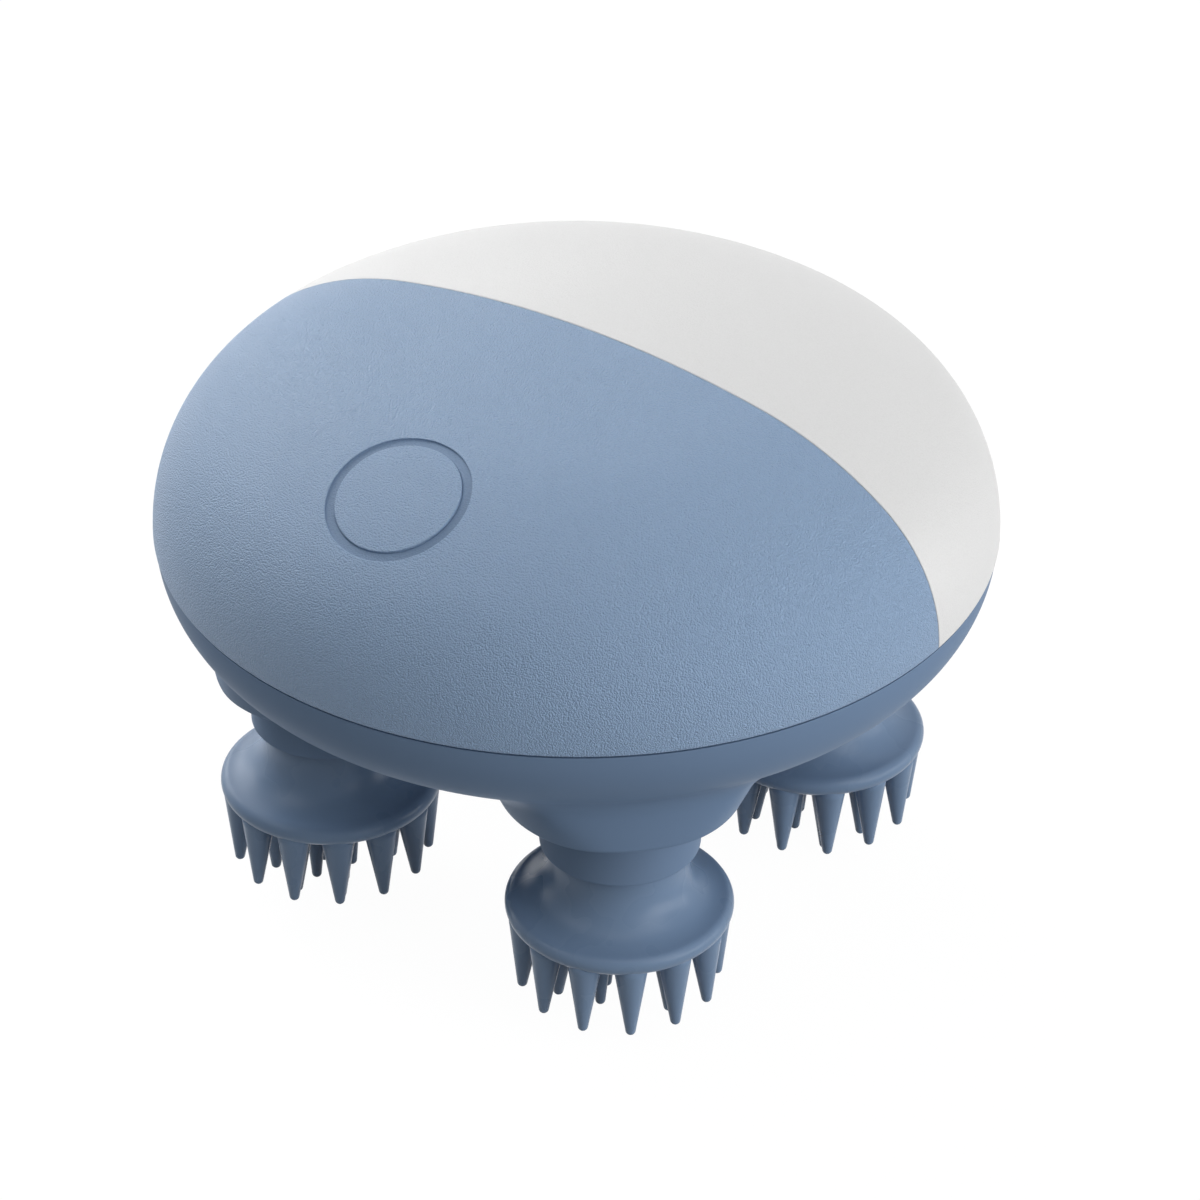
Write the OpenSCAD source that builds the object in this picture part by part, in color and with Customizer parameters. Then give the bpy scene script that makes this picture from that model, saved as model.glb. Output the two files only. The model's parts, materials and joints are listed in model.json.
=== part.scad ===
// Electric scalp massager: a round battery-driven body that stands on four
// turning massage heads. Millimetres, +Z up. The origin lies on the resting
// surface under the body's centre, and -Y is the front, where the button is.

/* [Body] */
// Outer radius of the body at its widest circle, where the covers meet the casing
body_r = 52.7; // [50:0.1:58]
// Height of that widest circle above the resting surface
seam_z = 52.2; // [51:0.1:58]
// Radius of the arc that rounds the dome's edge
dome_rim_r = 20.4; // [18:0.1:22]
// Angle that the edge arc turns through, from level
dome_rim_turn = 54.7; // [50:0.1:58]
// Radius of the arc between the edge arc and the crown
dome_mid_r = 44.8; // [40:0.1:48]
// Angle at which the crown takes over, from level
dome_mid_turn = 78.9; // [76:0.1:80]
// Radius of the arc that rounds the casing's edge
bowl_rim_r = 13.5; // [12.5:0.1:14]
// Depth of the casing below the widest circle
bowl_depth = 17.8; // [17:0.1:19]
// Radius of the casing's flat bottom
bowl_flat_r = 26.3; // [24:0.1:28]

/* [Walls] */
// Thickness of the soft-touch covers
cover_t = 1.2; // [1:0.1:1.4]
// Thickness of the moulded shell under the covers
shell_t = 1.8; // [1.5:0.1:2]
// Wall of the lower casing
casing_t = 2.2; // [2:0.1:2.4]
// Step by which the covers stand proud of the casing
cover_step = 0.2; // [0.2:0.1:0.4]
// Shadow gap between the covers and the casing
seam_gap = 0.1; // [0.1:0.05:0.3]
// Gap between the two covers
parting_gap = 0.1; // [0.06:0.02:0.2]

/* [Heads] */
// Distance between the axes of neighbouring heads
head_spacing = 45; // [44:0.1:47]
// Outer radius of a head's disc
disc_r = 14.2; // [13.5:0.1:14.8]
// Height of the disc's widest circle
disc_z = 15.3; // [15:0.1:16]
// Radius of the disc's rounded rim
rim_r = 1.3; // [1.1:0.1:1.5]
// Radius of the head's neck
neck_r = 8.3; // [7.5:0.1:8.6]
// Radius of the hollow flare from neck to disc
flare_r = 5.8; // [5.5:0.1:6.2]
// Depth by which the underside of the disc swells
under_swell = 3.2; // [2.5:0.1:3.6]
// Radius of a massage tooth's tip
tip_r = 0.65; // [0.5:0.05:0.8]
// Draft of a massage tooth, each side
tooth_draft = 9; // [7:0.5:9.5]
// Draft of the inner teeth, each side
inner_draft = 5; // [4:0.5:6]
// Outward lean of the teeth in the outer ring
tooth_lean = 3; // [0:0.5:4]
// Number of teeth in the outer ring
outer_teeth = 13; // [11:1:14]
// Radius of the outer ring of tooth tips
outer_ring_r = 12.3; // [11.8:0.1:12.8]
// Height of the outer tips above the longest ones
outer_tip_z = 3.9; // [3:0.1:4.5]
// Number of teeth in the middle ring
middle_teeth = 8; // [7:1:9]
// Radius of the middle ring of tooth tips
middle_ring_r = 7.6; // [7:0.1:8]
// Height of the middle tips above the longest ones
middle_tip_z = 1.35; // [0.8:0.05:2]
// Number of teeth in the inner ring
inner_teeth = 4; // [3:1:5]
// Radius of the inner ring of tooth tips
inner_ring_r = 2.65; // [2.4:0.05:3]

/* [Bosses and hubs] */
// Height of the underside of the four casing bosses
boss_z = 33.1; // [32.5:0.1:33.6]
// Radius of a boss at its underside
boss_r = 14.85; // [14:0.05:15.2]
// Angle by which a boss flares upwards
boss_flare = 24.3; // [20:0.1:26]
// Reach of a boss outwards from its own head's axis
boss_out_r = 14.5; // [14.3:0.1:15]
// Height of a hub's underside, where the head's neck begins
hub_z = 24.7; // [24:0.1:25.5]
// Radius of a hub at its top
hub_top_r = 10.1; // [9.6:0.1:11]
// Radius of a hub at its underside
hub_low_r = 9.9; // [9.4:0.1:10.5]
// Gap between a hub and its boss
hub_gap = 0.4; // [0.3:0.1:0.6]
// Radius of an output shaft
shaft_r = 3; // [2.5:0.1:3.4]
// Radius of the journal at a shaft's top end
journal_r = 2; // [1.6:0.1:2.2]
// Across-corners radius of the hexagon that drives a head
drive_hex_r = 4.6; // [4:0.1:5]
// Length of that hexagon
drive_hex_h = 5; // [4:0.1:6]
// Outer radius of a shaft bush
bush_r = 4.5; // [4.2:0.1:5]
// Length of a shaft bush
bush_h = 3; // [2.5:0.1:3.2]
// Thickness of a shaft seal
seal_h = 1.2; // [1:0.1:1.4]

/* [Gears] */
// Teeth of the sun gear that drives the four outputs, a multiple of 8
sun_teeth = 32; // [32:8:32]
// Teeth of each output gear
output_teeth = 16; // [15:1:17]
// Teeth of the wheel above the sun gear
wheel_teeth = 48; // [48:4:48]
// Teeth of the idler's small gear
idler_small_teeth = 12; // [12:1:12]
// Teeth of the idler's large gear
idler_large_teeth = 40; // [40:4:40]
// Teeth of the motor pinion
pinion_teeth = 10; // [10:1:10]
// Module of the wheel and the idler's small gear
wheel_module = 1; // [0.9:0.05:1]
// Module of the idler's large gear and the pinion
pinion_module = 0.7; // [0.6:0.05:0.7]
// Face width of the sun and output gears
sun_h = 4; // [3:0.1:4]
// Face width of the other gears
gear_h = 3; // [2.5:0.1:3]
// Amount by which each tooth is thinned to give backlash
backlash = 0.12; // [0.08:0.02:0.2]
// Radius of the two steel axles
axle_r = 1.5; // [1.2:0.1:1.6]

/* [Button] */
// Distance of the button's centre from the body's axis
button_y = 36.4; // [35.8:0.1:37]
// Radius of the button cap
button_r = 7.7; // [7:0.1:8.2]
// Width of the groove around the cap
button_groove_w = 1.2; // [0.9:0.1:1.6]
// Depth of the groove
button_groove_d = 0.3; // [0.2:0.1:0.6]
// Travel of the button
button_travel = 0.8; // [0.4:0.1:0.8]

/* [Drive and power] */
// Radius of the motor can
motor_r = 12.2; // [11:0.1:12.4]
// Length of the motor can
motor_h = 15.5; // [12:0.1:16]
// Width of the battery
battery_w = 36; // [30:1:36]
// Depth of the battery
battery_d = 20; // [16:1:20]
// Thickness of the battery
battery_h = 6.5; // [5:0.1:7]
// Thickness of the gear plate and the motor plate
plate_t = 2; // [1.6:0.1:2]
// Thickness of the circuit boards
board_t = 1; // [0.8:0.1:1.2]

/* [Hidden] */
$fn = 96;

// Clearances
fit = 0.05;
press = 0.02;
layer_gap = 0.8;
skin_gap = 0.05;

// Places of the four heads: [side in X, side in Y]
FRONT_LEFT = [-1, -1];
FRONT_RIGHT = [1, -1];
REAR_LEFT = [-1, 1];
REAR_RIGHT = [1, 1];
CORNERS = [FRONT_LEFT, FRONT_RIGHT, REAR_LEFT, REAR_RIGHT];

// Dome: each arc is tangent to the next, and the crown's centre is on the axis
rim_cx = body_r - dome_rim_r;
mid_shift = dome_mid_r - dome_rim_r;
mid_cx = rim_cx - mid_shift * cos(dome_rim_turn);
mid_cz = seam_z - mid_shift * sin(dome_rim_turn);
crown_shift = mid_cx / cos(dome_mid_turn);
crown_r = dome_mid_r + crown_shift;
crown_cz = mid_cz - crown_shift * sin(dome_mid_turn);

// Bowl: an edge arc and a wide arc that ends level at the flat bottom
bowl_z = seam_z - bowl_depth;
casing_r = body_r - cover_step;
bowl_turn = 2 * atan((casing_r - bowl_flat_r - bowl_rim_r) / (bowl_depth - bowl_rim_r)) - 90;
bowl_wide_r = bowl_rim_r + (bowl_depth - bowl_rim_r) / (1 - sin(bowl_turn));

// Seam between the casing and the upper shell
rim_z = seam_z - seam_gap;
lip_t = 0.7;
seal_band_h = 1.15;
seal_floor_z = seam_z - seal_band_h - fit;
tongue_clear = 0.5;
tongue_t = 1.6;
tongue_drop = 2.6;
shell_inset = cover_t + skin_gap;
inner_inset = shell_inset + shell_t;

// Heads
head_x = head_spacing / 2;
rim_c = disc_r - rim_r;
under_z = disc_z - rim_r - under_swell;
under_r = (rim_c * rim_c + under_swell * under_swell) / (2 * under_swell);
flare_z = disc_z + rim_r + sqrt(flare_r * flare_r - pow(flare_r + neck_r - rim_c, 2));
tip_flat = 0.05;
tooth_root_z = disc_z - 0.2;

// Bosses
boss_reach = head_x * sqrt(2) + boss_out_r;
boss_floor_z = boss_z + casing_t;
floor_z = bowl_z + casing_t;
tower_r = bush_r + 1.5;
seal_z = boss_z + 0.2;
bush_z = seal_z + seal_h + 0.2;
tower_z = max(bush_z + bush_h, floor_z + 1.1);

// Gear layers from the bottom up
sun_z = tower_z + 0.5;
gear_plate_z = sun_z + sun_h + layer_gap;
wheel_z = gear_plate_z + plate_t + layer_gap;
large_z = wheel_z + gear_h + layer_gap;
motor_plate_z = large_z + gear_h + layer_gap;
motor_z = motor_plate_z + plate_t;
centre_distance = head_x * sqrt(2);
sun_module = 2 * centre_distance / (sun_teeth + output_teeth);
pressure_angle = 25;
addendum = 0.8;
dedendum = 1;
idler_y = wheel_module * (wheel_teeth + idler_small_teeth) / 2;
motor_y = idler_y - pinion_module * (idler_large_teeth + pinion_teeth) / 2;
shaft_flat = 0.8;
journal_top_z = gear_plate_z + plate_t + 0.2;
journal_fit = 0.06;
wheel_boss_r = 9;
wheel_hub_r = 4;
web_rim = 3;
web_hub_r = 7;
web_d = 1.2;
sun_web_r = 15.5;
sun_web_hub_r = 10.4;
sun_web_d = 1.4;
idler_web_rim = 2.4;
idler_web_hub_r = 5;
idler_web_d = 1;
sun_opening_r = centre_distance * sun_teeth / (sun_teeth + output_teeth) + sun_module + 0.6;

// The bosses reach above the output gears, and flare without running into one another
boss_growth = head_x - boss_r - 0.4;
boss_h = max(min(seam_z - casing_t - boss_z, boss_growth / tan(boss_flare)), gear_plate_z - boss_z);
boss_slope = min(tan(boss_flare), boss_growth / boss_h);
boss_top_r = boss_r + boss_h * boss_slope;

// Posts and screws
post_r = 3;
post_reach = 30;
plate_edge = 2.6;
POSTS = [[post_reach, 0], [-post_reach, 0], [0, -post_reach]];
screw_r = 1.3;
screw_head_r = 2.4;
screw_head_h = 1.6;
pilot_r = screw_r + fit;
casing_screw_reach = 40;
casing_screw_turn = 15;
CASING_SCREWS = [for (a = [casing_screw_turn, -casing_screw_turn, 180 - casing_screw_turn,
    180 + casing_screw_turn]) casing_screw_reach * [cos(a), sin(a)]];
lug_z = seam_z - 6.2;
lug_top_z = seam_z + 5;
recess_r = screw_head_r + 0.4;
recess_top_z = bowl_z + 7;
recess_wall = 1.2;
recess_ring_h = 4.6;

// Button: its axis is square to the dome at the button's centre
button_tilt = asin((button_y - mid_cx) / dome_mid_r);
button_z = mid_cz + dome_mid_r * cos(button_tilt);
cap_t = 1.6;
cap_bore = 0.07;
button_groove_r = button_r + button_groove_w;
cap_flange_r = button_r + 0.9;
cap_flange_z = -5.3;
cap_flange_h = 1;
switch_size = 6;
switch_h = 2.6;
plunger_r = 1.7;
plunger_h = 0.8;
plunger_gap = button_travel + 0.1;
plunger_z = cap_flange_z - plunger_gap;
cap_socket_r = 2.6;
cap_wall = 1.4;
button_cut_h = 12;
button_board_z = plunger_z - plunger_h - switch_h - board_t;
button_board_d = 11;
board_post_r = 1.7;
board_post_x = cap_flange_r + board_post_r + 1.3;
button_board_w = 2 * (board_post_x + board_post_r + 0.7);

// Motor, battery and board
motor_shaft_r = 1;
motor_neck_r = 3;
motor_neck_h = 1.2;
motor_screw_reach = 8;
motor_screw_r = 1;
battery_y = -13.2;
tray_t = 1.2;
tray_clear = 0.3;
board_z = motor_z + tray_t + tray_clear + battery_h + 2;
board_d = 18;
tray_w = battery_w + 2 * (tray_clear + tray_t);
tray_d = battery_d + 2 * (tray_clear + tray_t);
tray_post_x = tray_w / 2 - tray_t / 2;
tray_post_r = 2.2;
small_head_r = 1.8;
CHIP = [9, 7, 1.8];
COIL = [4, 3, 1.6];
contact_r = 1.5;
contact_pitch = 8;
contact_y = 20;
contact_proud = 0.15;
peg_r = 1.2;
PEGS = [[-15, battery_y - 7], [15, battery_y - 7], [-15, battery_y + 7], [15, battery_y + 7]];

COVER_BLUE = [0.50, 0.60, 0.71];
COVER_WHITE = [0.90, 0.90, 0.90];
CASING_BLUE = [0.38, 0.46, 0.56];
HEAD_BLUE = [0.42, 0.50, 0.60];
NYLON = [0.93, 0.91, 0.85];
STEEL = [0.70, 0.71, 0.73];
BRONZE = [0.66, 0.48, 0.28];
SEAL_GREY = [0.25, 0.27, 0.30];
PLATE_GREY = [0.55, 0.57, 0.60];
BOARD_GREEN = [0.13, 0.38, 0.24];
CELL_SILVER = [0.62, 0.64, 0.68];
BRASS = [0.83, 0.68, 0.35];

// ---- Outlines, drawn in the half plane of radius and height ----

// Slice of a circle between two angles, with its point at the circle's centre
module pie(centre, r, from, to) {
    reach = 2 * r;
    translate(centre)
        intersection() {
            circle(r);
            polygon([[0, 0], reach * [cos(from), sin(from)],
                reach * [cos((from + to) / 2), sin((from + to) / 2)],
                reach * [cos(to), sin(to)]]);
        }
}

// Area under the dome, moved in by inset, with a straight foot of the given drop.
// Each smaller circle lies inside the next one, so the pieces overlap and stay tangent.
module dome_area(inset, drop = 0) {
    intersection() {
        union() {
            translate([rim_cx, seam_z])
                circle(dome_rim_r - inset);
            pie([mid_cx, mid_cz], dome_mid_r - inset, dome_rim_turn, 110);
            pie([0, crown_cz], crown_r - inset, dome_mid_turn, 92);
        }
        translate([0, seam_z])
            square([body_r, 2 * body_r]);
    }
    if (drop > 0)
        translate([0, seam_z - drop])
            square([body_r - inset, drop]);
}

// Area inside the bowl, moved in by inset and down, below the widest circle
module bowl_area(inset) {
    bottom = bowl_z + inset;
    intersection() {
        union() {
            translate([casing_r - bowl_rim_r, seam_z])
                circle(bowl_rim_r - inset);
            pie([bowl_flat_r, bowl_z + bowl_wide_r], bowl_wide_r - inset, -90.5, -bowl_turn);
            translate([0, bottom])
                square([bowl_flat_r + 0.01, seam_z - bottom]);
        }
        translate([0, bottom])
            square([body_r, seam_z - bottom]);
    }
}

module dome(inset) {
    rotate_extrude()
        dome_area(inset);
}

// Wall between two insets of the dome
module dome_wall(outer, inner) {
    rotate_extrude()
        difference() {
            dome_area(outer);
            dome_area(inner, 1);
        }
}

module bowl(inset) {
    rotate_extrude()
        bowl_area(inset);
}

module ring(r_out, r_in, z, h) {
    translate([0, 0, z])
        difference() {
            cylinder(r = r_out, h = h);
            translate([0, 0, -1])
                cylinder(r = r_in, h = h + 2);
        }
}

module rod(r, z, top) {
    translate([0, 0, z])
        cylinder(r = r, h = top - z);
}

module at_head(corner) {
    translate([head_x * corner[0], head_x * corner[1], 0])
        children();
}

module at_button() {
    translate([0, -button_y, button_z])
        rotate([button_tilt, 0, 0])
            children();
}

// Cylinder about the button's axis that reaches through every skin
module button_cylinder(r) {
    at_button()
        translate([0, 0, -button_cut_h / 2])
            cylinder(r = r, h = button_cut_h);
}

// ---- Covers, shell and button ----

module cover_half(side) {
    difference() {
        dome_wall(0, cover_t);
        translate([-body_r - 1, side > 0 ? -2 * body_r + parting_gap / 2 : -parting_gap / 2, 0])
            cube([2 * body_r + 2, 2 * body_r, 3 * body_r]);
    }
}

module front_cover() {
    color(COVER_BLUE)
        difference() {
            cover_half(-1);
            button_cylinder(button_r + cap_bore);
            intersection() {
                dome_wall(-1, button_groove_d);
                button_cylinder(button_groove_r);
            }
        }
}

module rear_cover() {
    color(COVER_WHITE)
        cover_half(1);
}

module shell_lug(at) {
    translate([at[0], at[1], lug_z])
        cylinder(r = post_r, h = lug_top_z - lug_z);
    turn = atan2(at[1], at[0]);
    rotate([0, 0, turn])
        translate([casing_screw_reach, -1, seam_z - 1])
            cube([body_r - inner_inset - casing_screw_reach + 0.4, 2, lug_top_z - seam_z]);
}

module upper_shell() {
    tongue_r = casing_r - casing_t - tongue_clear;
    color(CASING_BLUE)
        difference() {
            union() {
                rotate_extrude()
                    difference() {
                        union() {
                            dome_area(shell_inset);
                            translate([tongue_r - tongue_t, seam_z - tongue_drop])
                                square([tongue_t, tongue_drop + 1]);
                        }
                        dome_area(inner_inset);
                        translate([0, seam_z - 1])
                            square([tongue_r - tongue_t, 1.1]);
                    }
                for (at = CASING_SCREWS)
                    shell_lug(at);
                intersection() {
                    dome(shell_inset + 0.4);
                    at_button()
                        for (x = [-board_post_x, board_post_x])
                            translate([x, 0, button_board_z + board_t])
                                cylinder(r = board_post_r, h = -button_board_z);
                }
            }
            at_button()
                translate([0, 0, cap_flange_z + cap_flange_h])
                    cylinder(r = button_r + cap_bore, h = 10);
            for (at = CASING_SCREWS)
                translate([at[0], at[1], lug_z - 1])
                    cylinder(r = pilot_r, h = 8);
        }
}

module button_cap() {
    color(COVER_BLUE)
        union() {
            intersection() {
                dome_wall(0, cap_t);
                button_cylinder(button_r);
            }
            at_button()
                difference() {
                    union() {
                        translate([0, 0, cap_flange_z])
                            cylinder(r = button_r - 0.02, h = -cap_flange_z - cap_t - 0.2);
                        translate([0, 0, cap_flange_z])
                            cylinder(r = cap_flange_r, h = cap_flange_h);
                    }
                    translate([0, 0, cap_flange_z - 1])
                        ring(button_r - cap_wall, cap_socket_r, 0, -cap_flange_z - cap_t - 0.6);
                }
        }
}

module button_board() {
    color(BOARD_GREEN)
        at_button()
            translate([-button_board_w / 2, -button_board_d / 2, button_board_z])
                cube([button_board_w, button_board_d, board_t]);
}

module tact_switch() {
    color(SEAL_GREY)
        at_button()
            translate([0, 0, button_board_z + board_t]) {
                translate([-switch_size / 2, -switch_size / 2, 0])
                    cube([switch_size, switch_size, switch_h]);
                cylinder(r = plunger_r, h = switch_h + plunger_h);
            }
}

// ---- Lower casing and seals ----

// The four bosses, flared and held within the reach of the casing's edge
module boss_solid(inset, from_z) {
    intersection() {
        for (corner = CORNERS)
            at_head(corner)
                translate([0, 0, from_z])
                    cylinder(r1 = boss_r - inset + (from_z - boss_z) * boss_slope,
                        r2 = boss_top_r - inset, h = boss_z + boss_h - from_z);
        translate([0, 0, from_z - 1])
            cylinder(r = boss_reach - inset, h = boss_h + 2);
    }
}

module casing_post(at, from_z, to_z) {
    translate([at[0], at[1], from_z])
        cylinder(r = post_r, h = to_z - from_z);
}

// Rings that thicken the bowl around the casing screws' recesses, flush with its outside
module screw_recess_rings() {
    intersection() {
        bowl(0);
        for (at = CASING_SCREWS)
            translate([at[0], at[1], recess_top_z + recess_wall - recess_ring_h])
                cylinder(r = recess_r + recess_wall, h = recess_ring_h);
    }
}

module lower_casing() {
    color(CASING_BLUE)
        difference() {
            union() {
                difference() {
                    union() {
                        bowl(0);
                        boss_solid(0, boss_z);
                    }
                    bowl(casing_t);
                    boss_solid(casing_t, boss_floor_z);
                }
                for (corner = CORNERS)
                    at_head(corner)
                        rod(tower_r, boss_z + 1, tower_z);
                for (at = POSTS)
                    casing_post(at, floor_z - 1, gear_plate_z);
                for (at = CASING_SCREWS)
                    casing_post(at, recess_top_z, lug_z);
                screw_recess_rings();
                rod(post_r, floor_z - 1, sun_z - 0.3);
            }
            translate([0, 0, rim_z])
                cylinder(r = body_r, h = 5);
            translate([0, 0, seal_floor_z])
                cylinder(r = casing_r - lip_t, h = 5);
            for (corner = CORNERS)
                at_head(corner)
                    rod(bush_r + press, boss_z - 1, tower_z + 1);
            for (at = POSTS)
                translate([at[0], at[1], floor_z + 1])
                    cylinder(r = pilot_r, h = 10);
            for (at = CASING_SCREWS)
                translate([at[0], at[1], bowl_z - 5]) {
                    cylinder(r = recess_r, h = recess_top_z - bowl_z + 5);
                    cylinder(r = pilot_r + 0.2, h = 30);
                }
            rod(axle_r + press, floor_z - 0.8, sun_z);
            for (x = [-contact_pitch / 2, contact_pitch / 2])
                translate([x, contact_y, bowl_z - 1])
                    cylinder(r = contact_r + press, h = casing_t + 2);
        }
}

module seam_seal() {
    color(SEAL_GREY)
        ring(casing_r - lip_t - 0.1, casing_r - casing_t + 0.1, seal_floor_z, seal_band_h);
}

module shaft_seal(corner) {
    color(SEAL_GREY)
        at_head(corner)
            ring(bush_r, shaft_r + fit, seal_z, seal_h);
}

module shaft_bush(corner) {
    color(BRONZE)
        at_head(corner)
            ring(bush_r, shaft_r + fit, bush_z, bush_h);
}

module charge_contacts() {
    color(BRASS)
        for (x = [-contact_pitch / 2, contact_pitch / 2])
            translate([x, contact_y, bowl_z - contact_proud]) {
                cylinder(r = contact_r, h = contact_proud + casing_t + 0.6);
                translate([0, 0, contact_proud + casing_t + press])
                    cylinder(r = contact_r + 0.8, h = 0.6);
            }
}

// ---- Massage heads and their hubs ----

module head_outline() {
    translate([rim_c, disc_z])
        circle(rim_r);
    difference() {
        translate([0, disc_z])
            square([rim_c, hub_z - disc_z]);
        translate([neck_r + flare_r, flare_z])
            circle(flare_r);
        translate([neck_r, flare_z])
            square([disc_r, disc_r]);
    }
    intersection() {
        translate([0, under_z + under_r])
            circle(under_r);
        translate([0, under_z])
            square([rim_c, disc_z + 0.1 - under_z]);
    }
}

// One tooth, tip down, with its tip's lowest point at the origin
module massage_tooth(length, lean, draft) {
    translate([0, 0, tip_r])
        rotate([0, lean, 0])
            rotate_extrude($fn = 48)
                intersection() {
                    union() {
                        circle(tip_r);
                        polygon([[0, -tip_r * sin(draft)],
                            [tip_r * cos(draft), -tip_r * sin(draft)],
                            [tip_r / cos(draft) + length * tan(draft), length],
                            [0, length]]);
                    }
                    translate([0, -tip_r])
                        square([disc_r, length + tip_r]);
                }
}

module tooth_ring(count, r, tip_z, phase, draft) {
    for (i = [0:count - 1])
        rotate([0, 0, phase + i * 360 / count])
            translate([r, 0, tip_z])
                massage_tooth(tooth_root_z - tip_z - tip_r, -tooth_lean * r / outer_ring_r, draft);
}

module massage_head(corner) {
    color(HEAD_BLUE)
        at_head(corner)
            difference() {
                union() {
                    rotate_extrude()
                        head_outline();
                    tooth_ring(outer_teeth, outer_ring_r, outer_tip_z, 90, tooth_draft);
                    tooth_ring(middle_teeth, middle_ring_r, middle_tip_z, 0, tooth_draft);
                    tooth_ring(inner_teeth, inner_ring_r, -tip_flat, 67.5, inner_draft);
                }
                translate([0, 0, hub_z - drive_hex_h - 0.2])
                    cylinder(r = drive_hex_r + fit, h = drive_hex_h + 1, $fn = 6);
                translate([-disc_r, -disc_r, -disc_r])
                    cube([2 * disc_r, 2 * disc_r, disc_r]);
            }
}

module head_hub(corner) {
    hub_top_z = boss_z - hub_gap;
    color(CASING_BLUE)
        at_head(corner) {
            difference() {
                translate([0, 0, hub_z])
                    cylinder(r1 = hub_low_r, r2 = hub_top_r, h = hub_top_z - hub_z);
                ring(hub_low_r - 1.6, shaft_r + 2.4, hub_z + 2, hub_top_z - hub_z);
            }
            translate([0, 0, hub_z - drive_hex_h])
                cylinder(r = drive_hex_r, h = drive_hex_h + 1, $fn = 6);
            difference() {
                rod(shaft_r, hub_z + 1, sun_z + sun_h);
                translate([shaft_r - shaft_flat, -shaft_r, sun_z - 0.2])
                    cube([shaft_r, 2 * shaft_r, sun_h + 1]);
            }
            rod(journal_r, sun_z + sun_h - 1, journal_top_z);
        }
}

// ---- Gears ----

function involute(a) = tan(a) * 180 / PI - a;
// Half the angle of a tooth at radius r
function tooth_half(r, pitch_r, teeth) =
    90 / teeth - backlash / (2 * pitch_r) * 180 / PI + involute(pressure_angle)
    - involute(acos(min(1, pitch_r * cos(pressure_angle) / r)));
function polar(r, a) = r * [cos(a), sin(a)];
function lerp(a, b, t) = a + (b - a) * t;

// Spur gear with flanks in flank_steps straight pieces; a tooth points along X
module gear(teeth, m, h) {
    flank_steps = 3;
    pitch_r = teeth * m / 2;
    tip = pitch_r + addendum * m;
    root = pitch_r - dedendum * m;
    flank_low = max(root, pitch_r * cos(pressure_angle));
    rise = [for (i = [0:flank_steps]) lerp(flank_low, tip, i / flank_steps)];
    points = [for (k = [0:teeth - 1]) let (mid = k * 360 / teeth) each concat(
        [polar(root, mid - tooth_half(flank_low, pitch_r, teeth))],
        [for (r = rise) if (r > root) polar(r, mid - tooth_half(r, pitch_r, teeth))],
        [for (i = [flank_steps:-1:0]) if (rise[i] > root)
            polar(rise[i], mid + tooth_half(rise[i], pitch_r, teeth))],
        [polar(root, mid + tooth_half(flank_low, pitch_r, teeth))])];
    linear_extrude(h)
        polygon(points);
}

module output_gear(corner) {
    azimuth = atan2(corner[1], corner[0]);
    color(NYLON)
        at_head(corner)
            translate([0, 0, sun_z])
                difference() {
                    rotate([0, 0, azimuth + 180 - 180 / output_teeth])
                        gear(output_teeth, sun_module, sun_h);
                    difference() {
                        translate([0, 0, -1])
                            cylinder(r = shaft_r + press, h = sun_h + 2);
                        translate([shaft_r - shaft_flat + press, -shaft_r - 1, -2])
                            cube([shaft_r, 2 * shaft_r + 2, sun_h + 4]);
                    }
                }
}

module centre_wheel() {
    color(NYLON)
        difference() {
            union() {
                translate([0, 0, sun_z])
                    gear(sun_teeth, sun_module, sun_h);
                rod(wheel_boss_r, sun_z + 1, wheel_z + 1);
                translate([0, 0, wheel_z])
                    gear(wheel_teeth, wheel_module, gear_h);
                rod(wheel_hub_r, wheel_z, wheel_z + gear_h + layer_gap);
            }
            ring(wheel_module * wheel_teeth / 2 - web_rim, web_hub_r,
                wheel_z + gear_h - web_d, gear_h);
            ring(sun_web_r, sun_web_hub_r, sun_z - 1, 1 + sun_web_d);
            rod(axle_r + fit, sun_z - 1, motor_plate_z);
        }
}

module centre_axle() {
    color(STEEL)
        rod(axle_r, floor_z - 0.8, motor_plate_z + plate_t - 0.4);
}

module idler_gear() {
    color(NYLON)
        translate([0, idler_y, 0])
            difference() {
                union() {
                    translate([0, 0, wheel_z])
                        rotate([0, 0, 270 - 180 / idler_small_teeth])
                            gear(idler_small_teeth, wheel_module, gear_h + layer_gap + 0.5);
                    translate([0, 0, large_z])
                        gear(idler_large_teeth, pinion_module, gear_h);
                }
                ring(pinion_module * idler_large_teeth / 2 - idler_web_rim, idler_web_hub_r,
                    large_z + gear_h - idler_web_d, gear_h);
                rod(axle_r + fit, wheel_z - 1, motor_plate_z);
            }
}

module idler_axle() {
    color(STEEL)
        translate([0, idler_y, 0])
            rod(axle_r, gear_plate_z, motor_plate_z + plate_t - 0.4);
}

module motor_pinion() {
    color(BRASS)
        translate([0, motor_y, 0]) {
            translate([0, 0, large_z])
                rotate([0, 0, 90 - 180 / pinion_teeth])
                    gear(pinion_teeth, pinion_module, gear_h);
            rod(motor_shaft_r, large_z + 1, motor_z + motor_h * 0.5);
        }
}

module motor_can() {
    color(STEEL)
        translate([0, motor_y, 0])
            difference() {
                union() {
                    rod(motor_r, motor_z, motor_z + motor_h);
                    rod(motor_neck_r, motor_z - motor_neck_h, motor_z + 1);
                    rod(motor_neck_r, motor_z + motor_h - 1, motor_z + motor_h + 0.8);
                }
                rod(motor_shaft_r + fit, motor_z - 3, motor_z + motor_h * 0.5 + 0.3);
                for (x = [-motor_screw_reach, motor_screw_reach])
                    translate([x, 0, motor_z - 1])
                        cylinder(r = motor_screw_r + press, h = 3.4);
            }
}

// ---- Plates and fasteners ----

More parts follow.
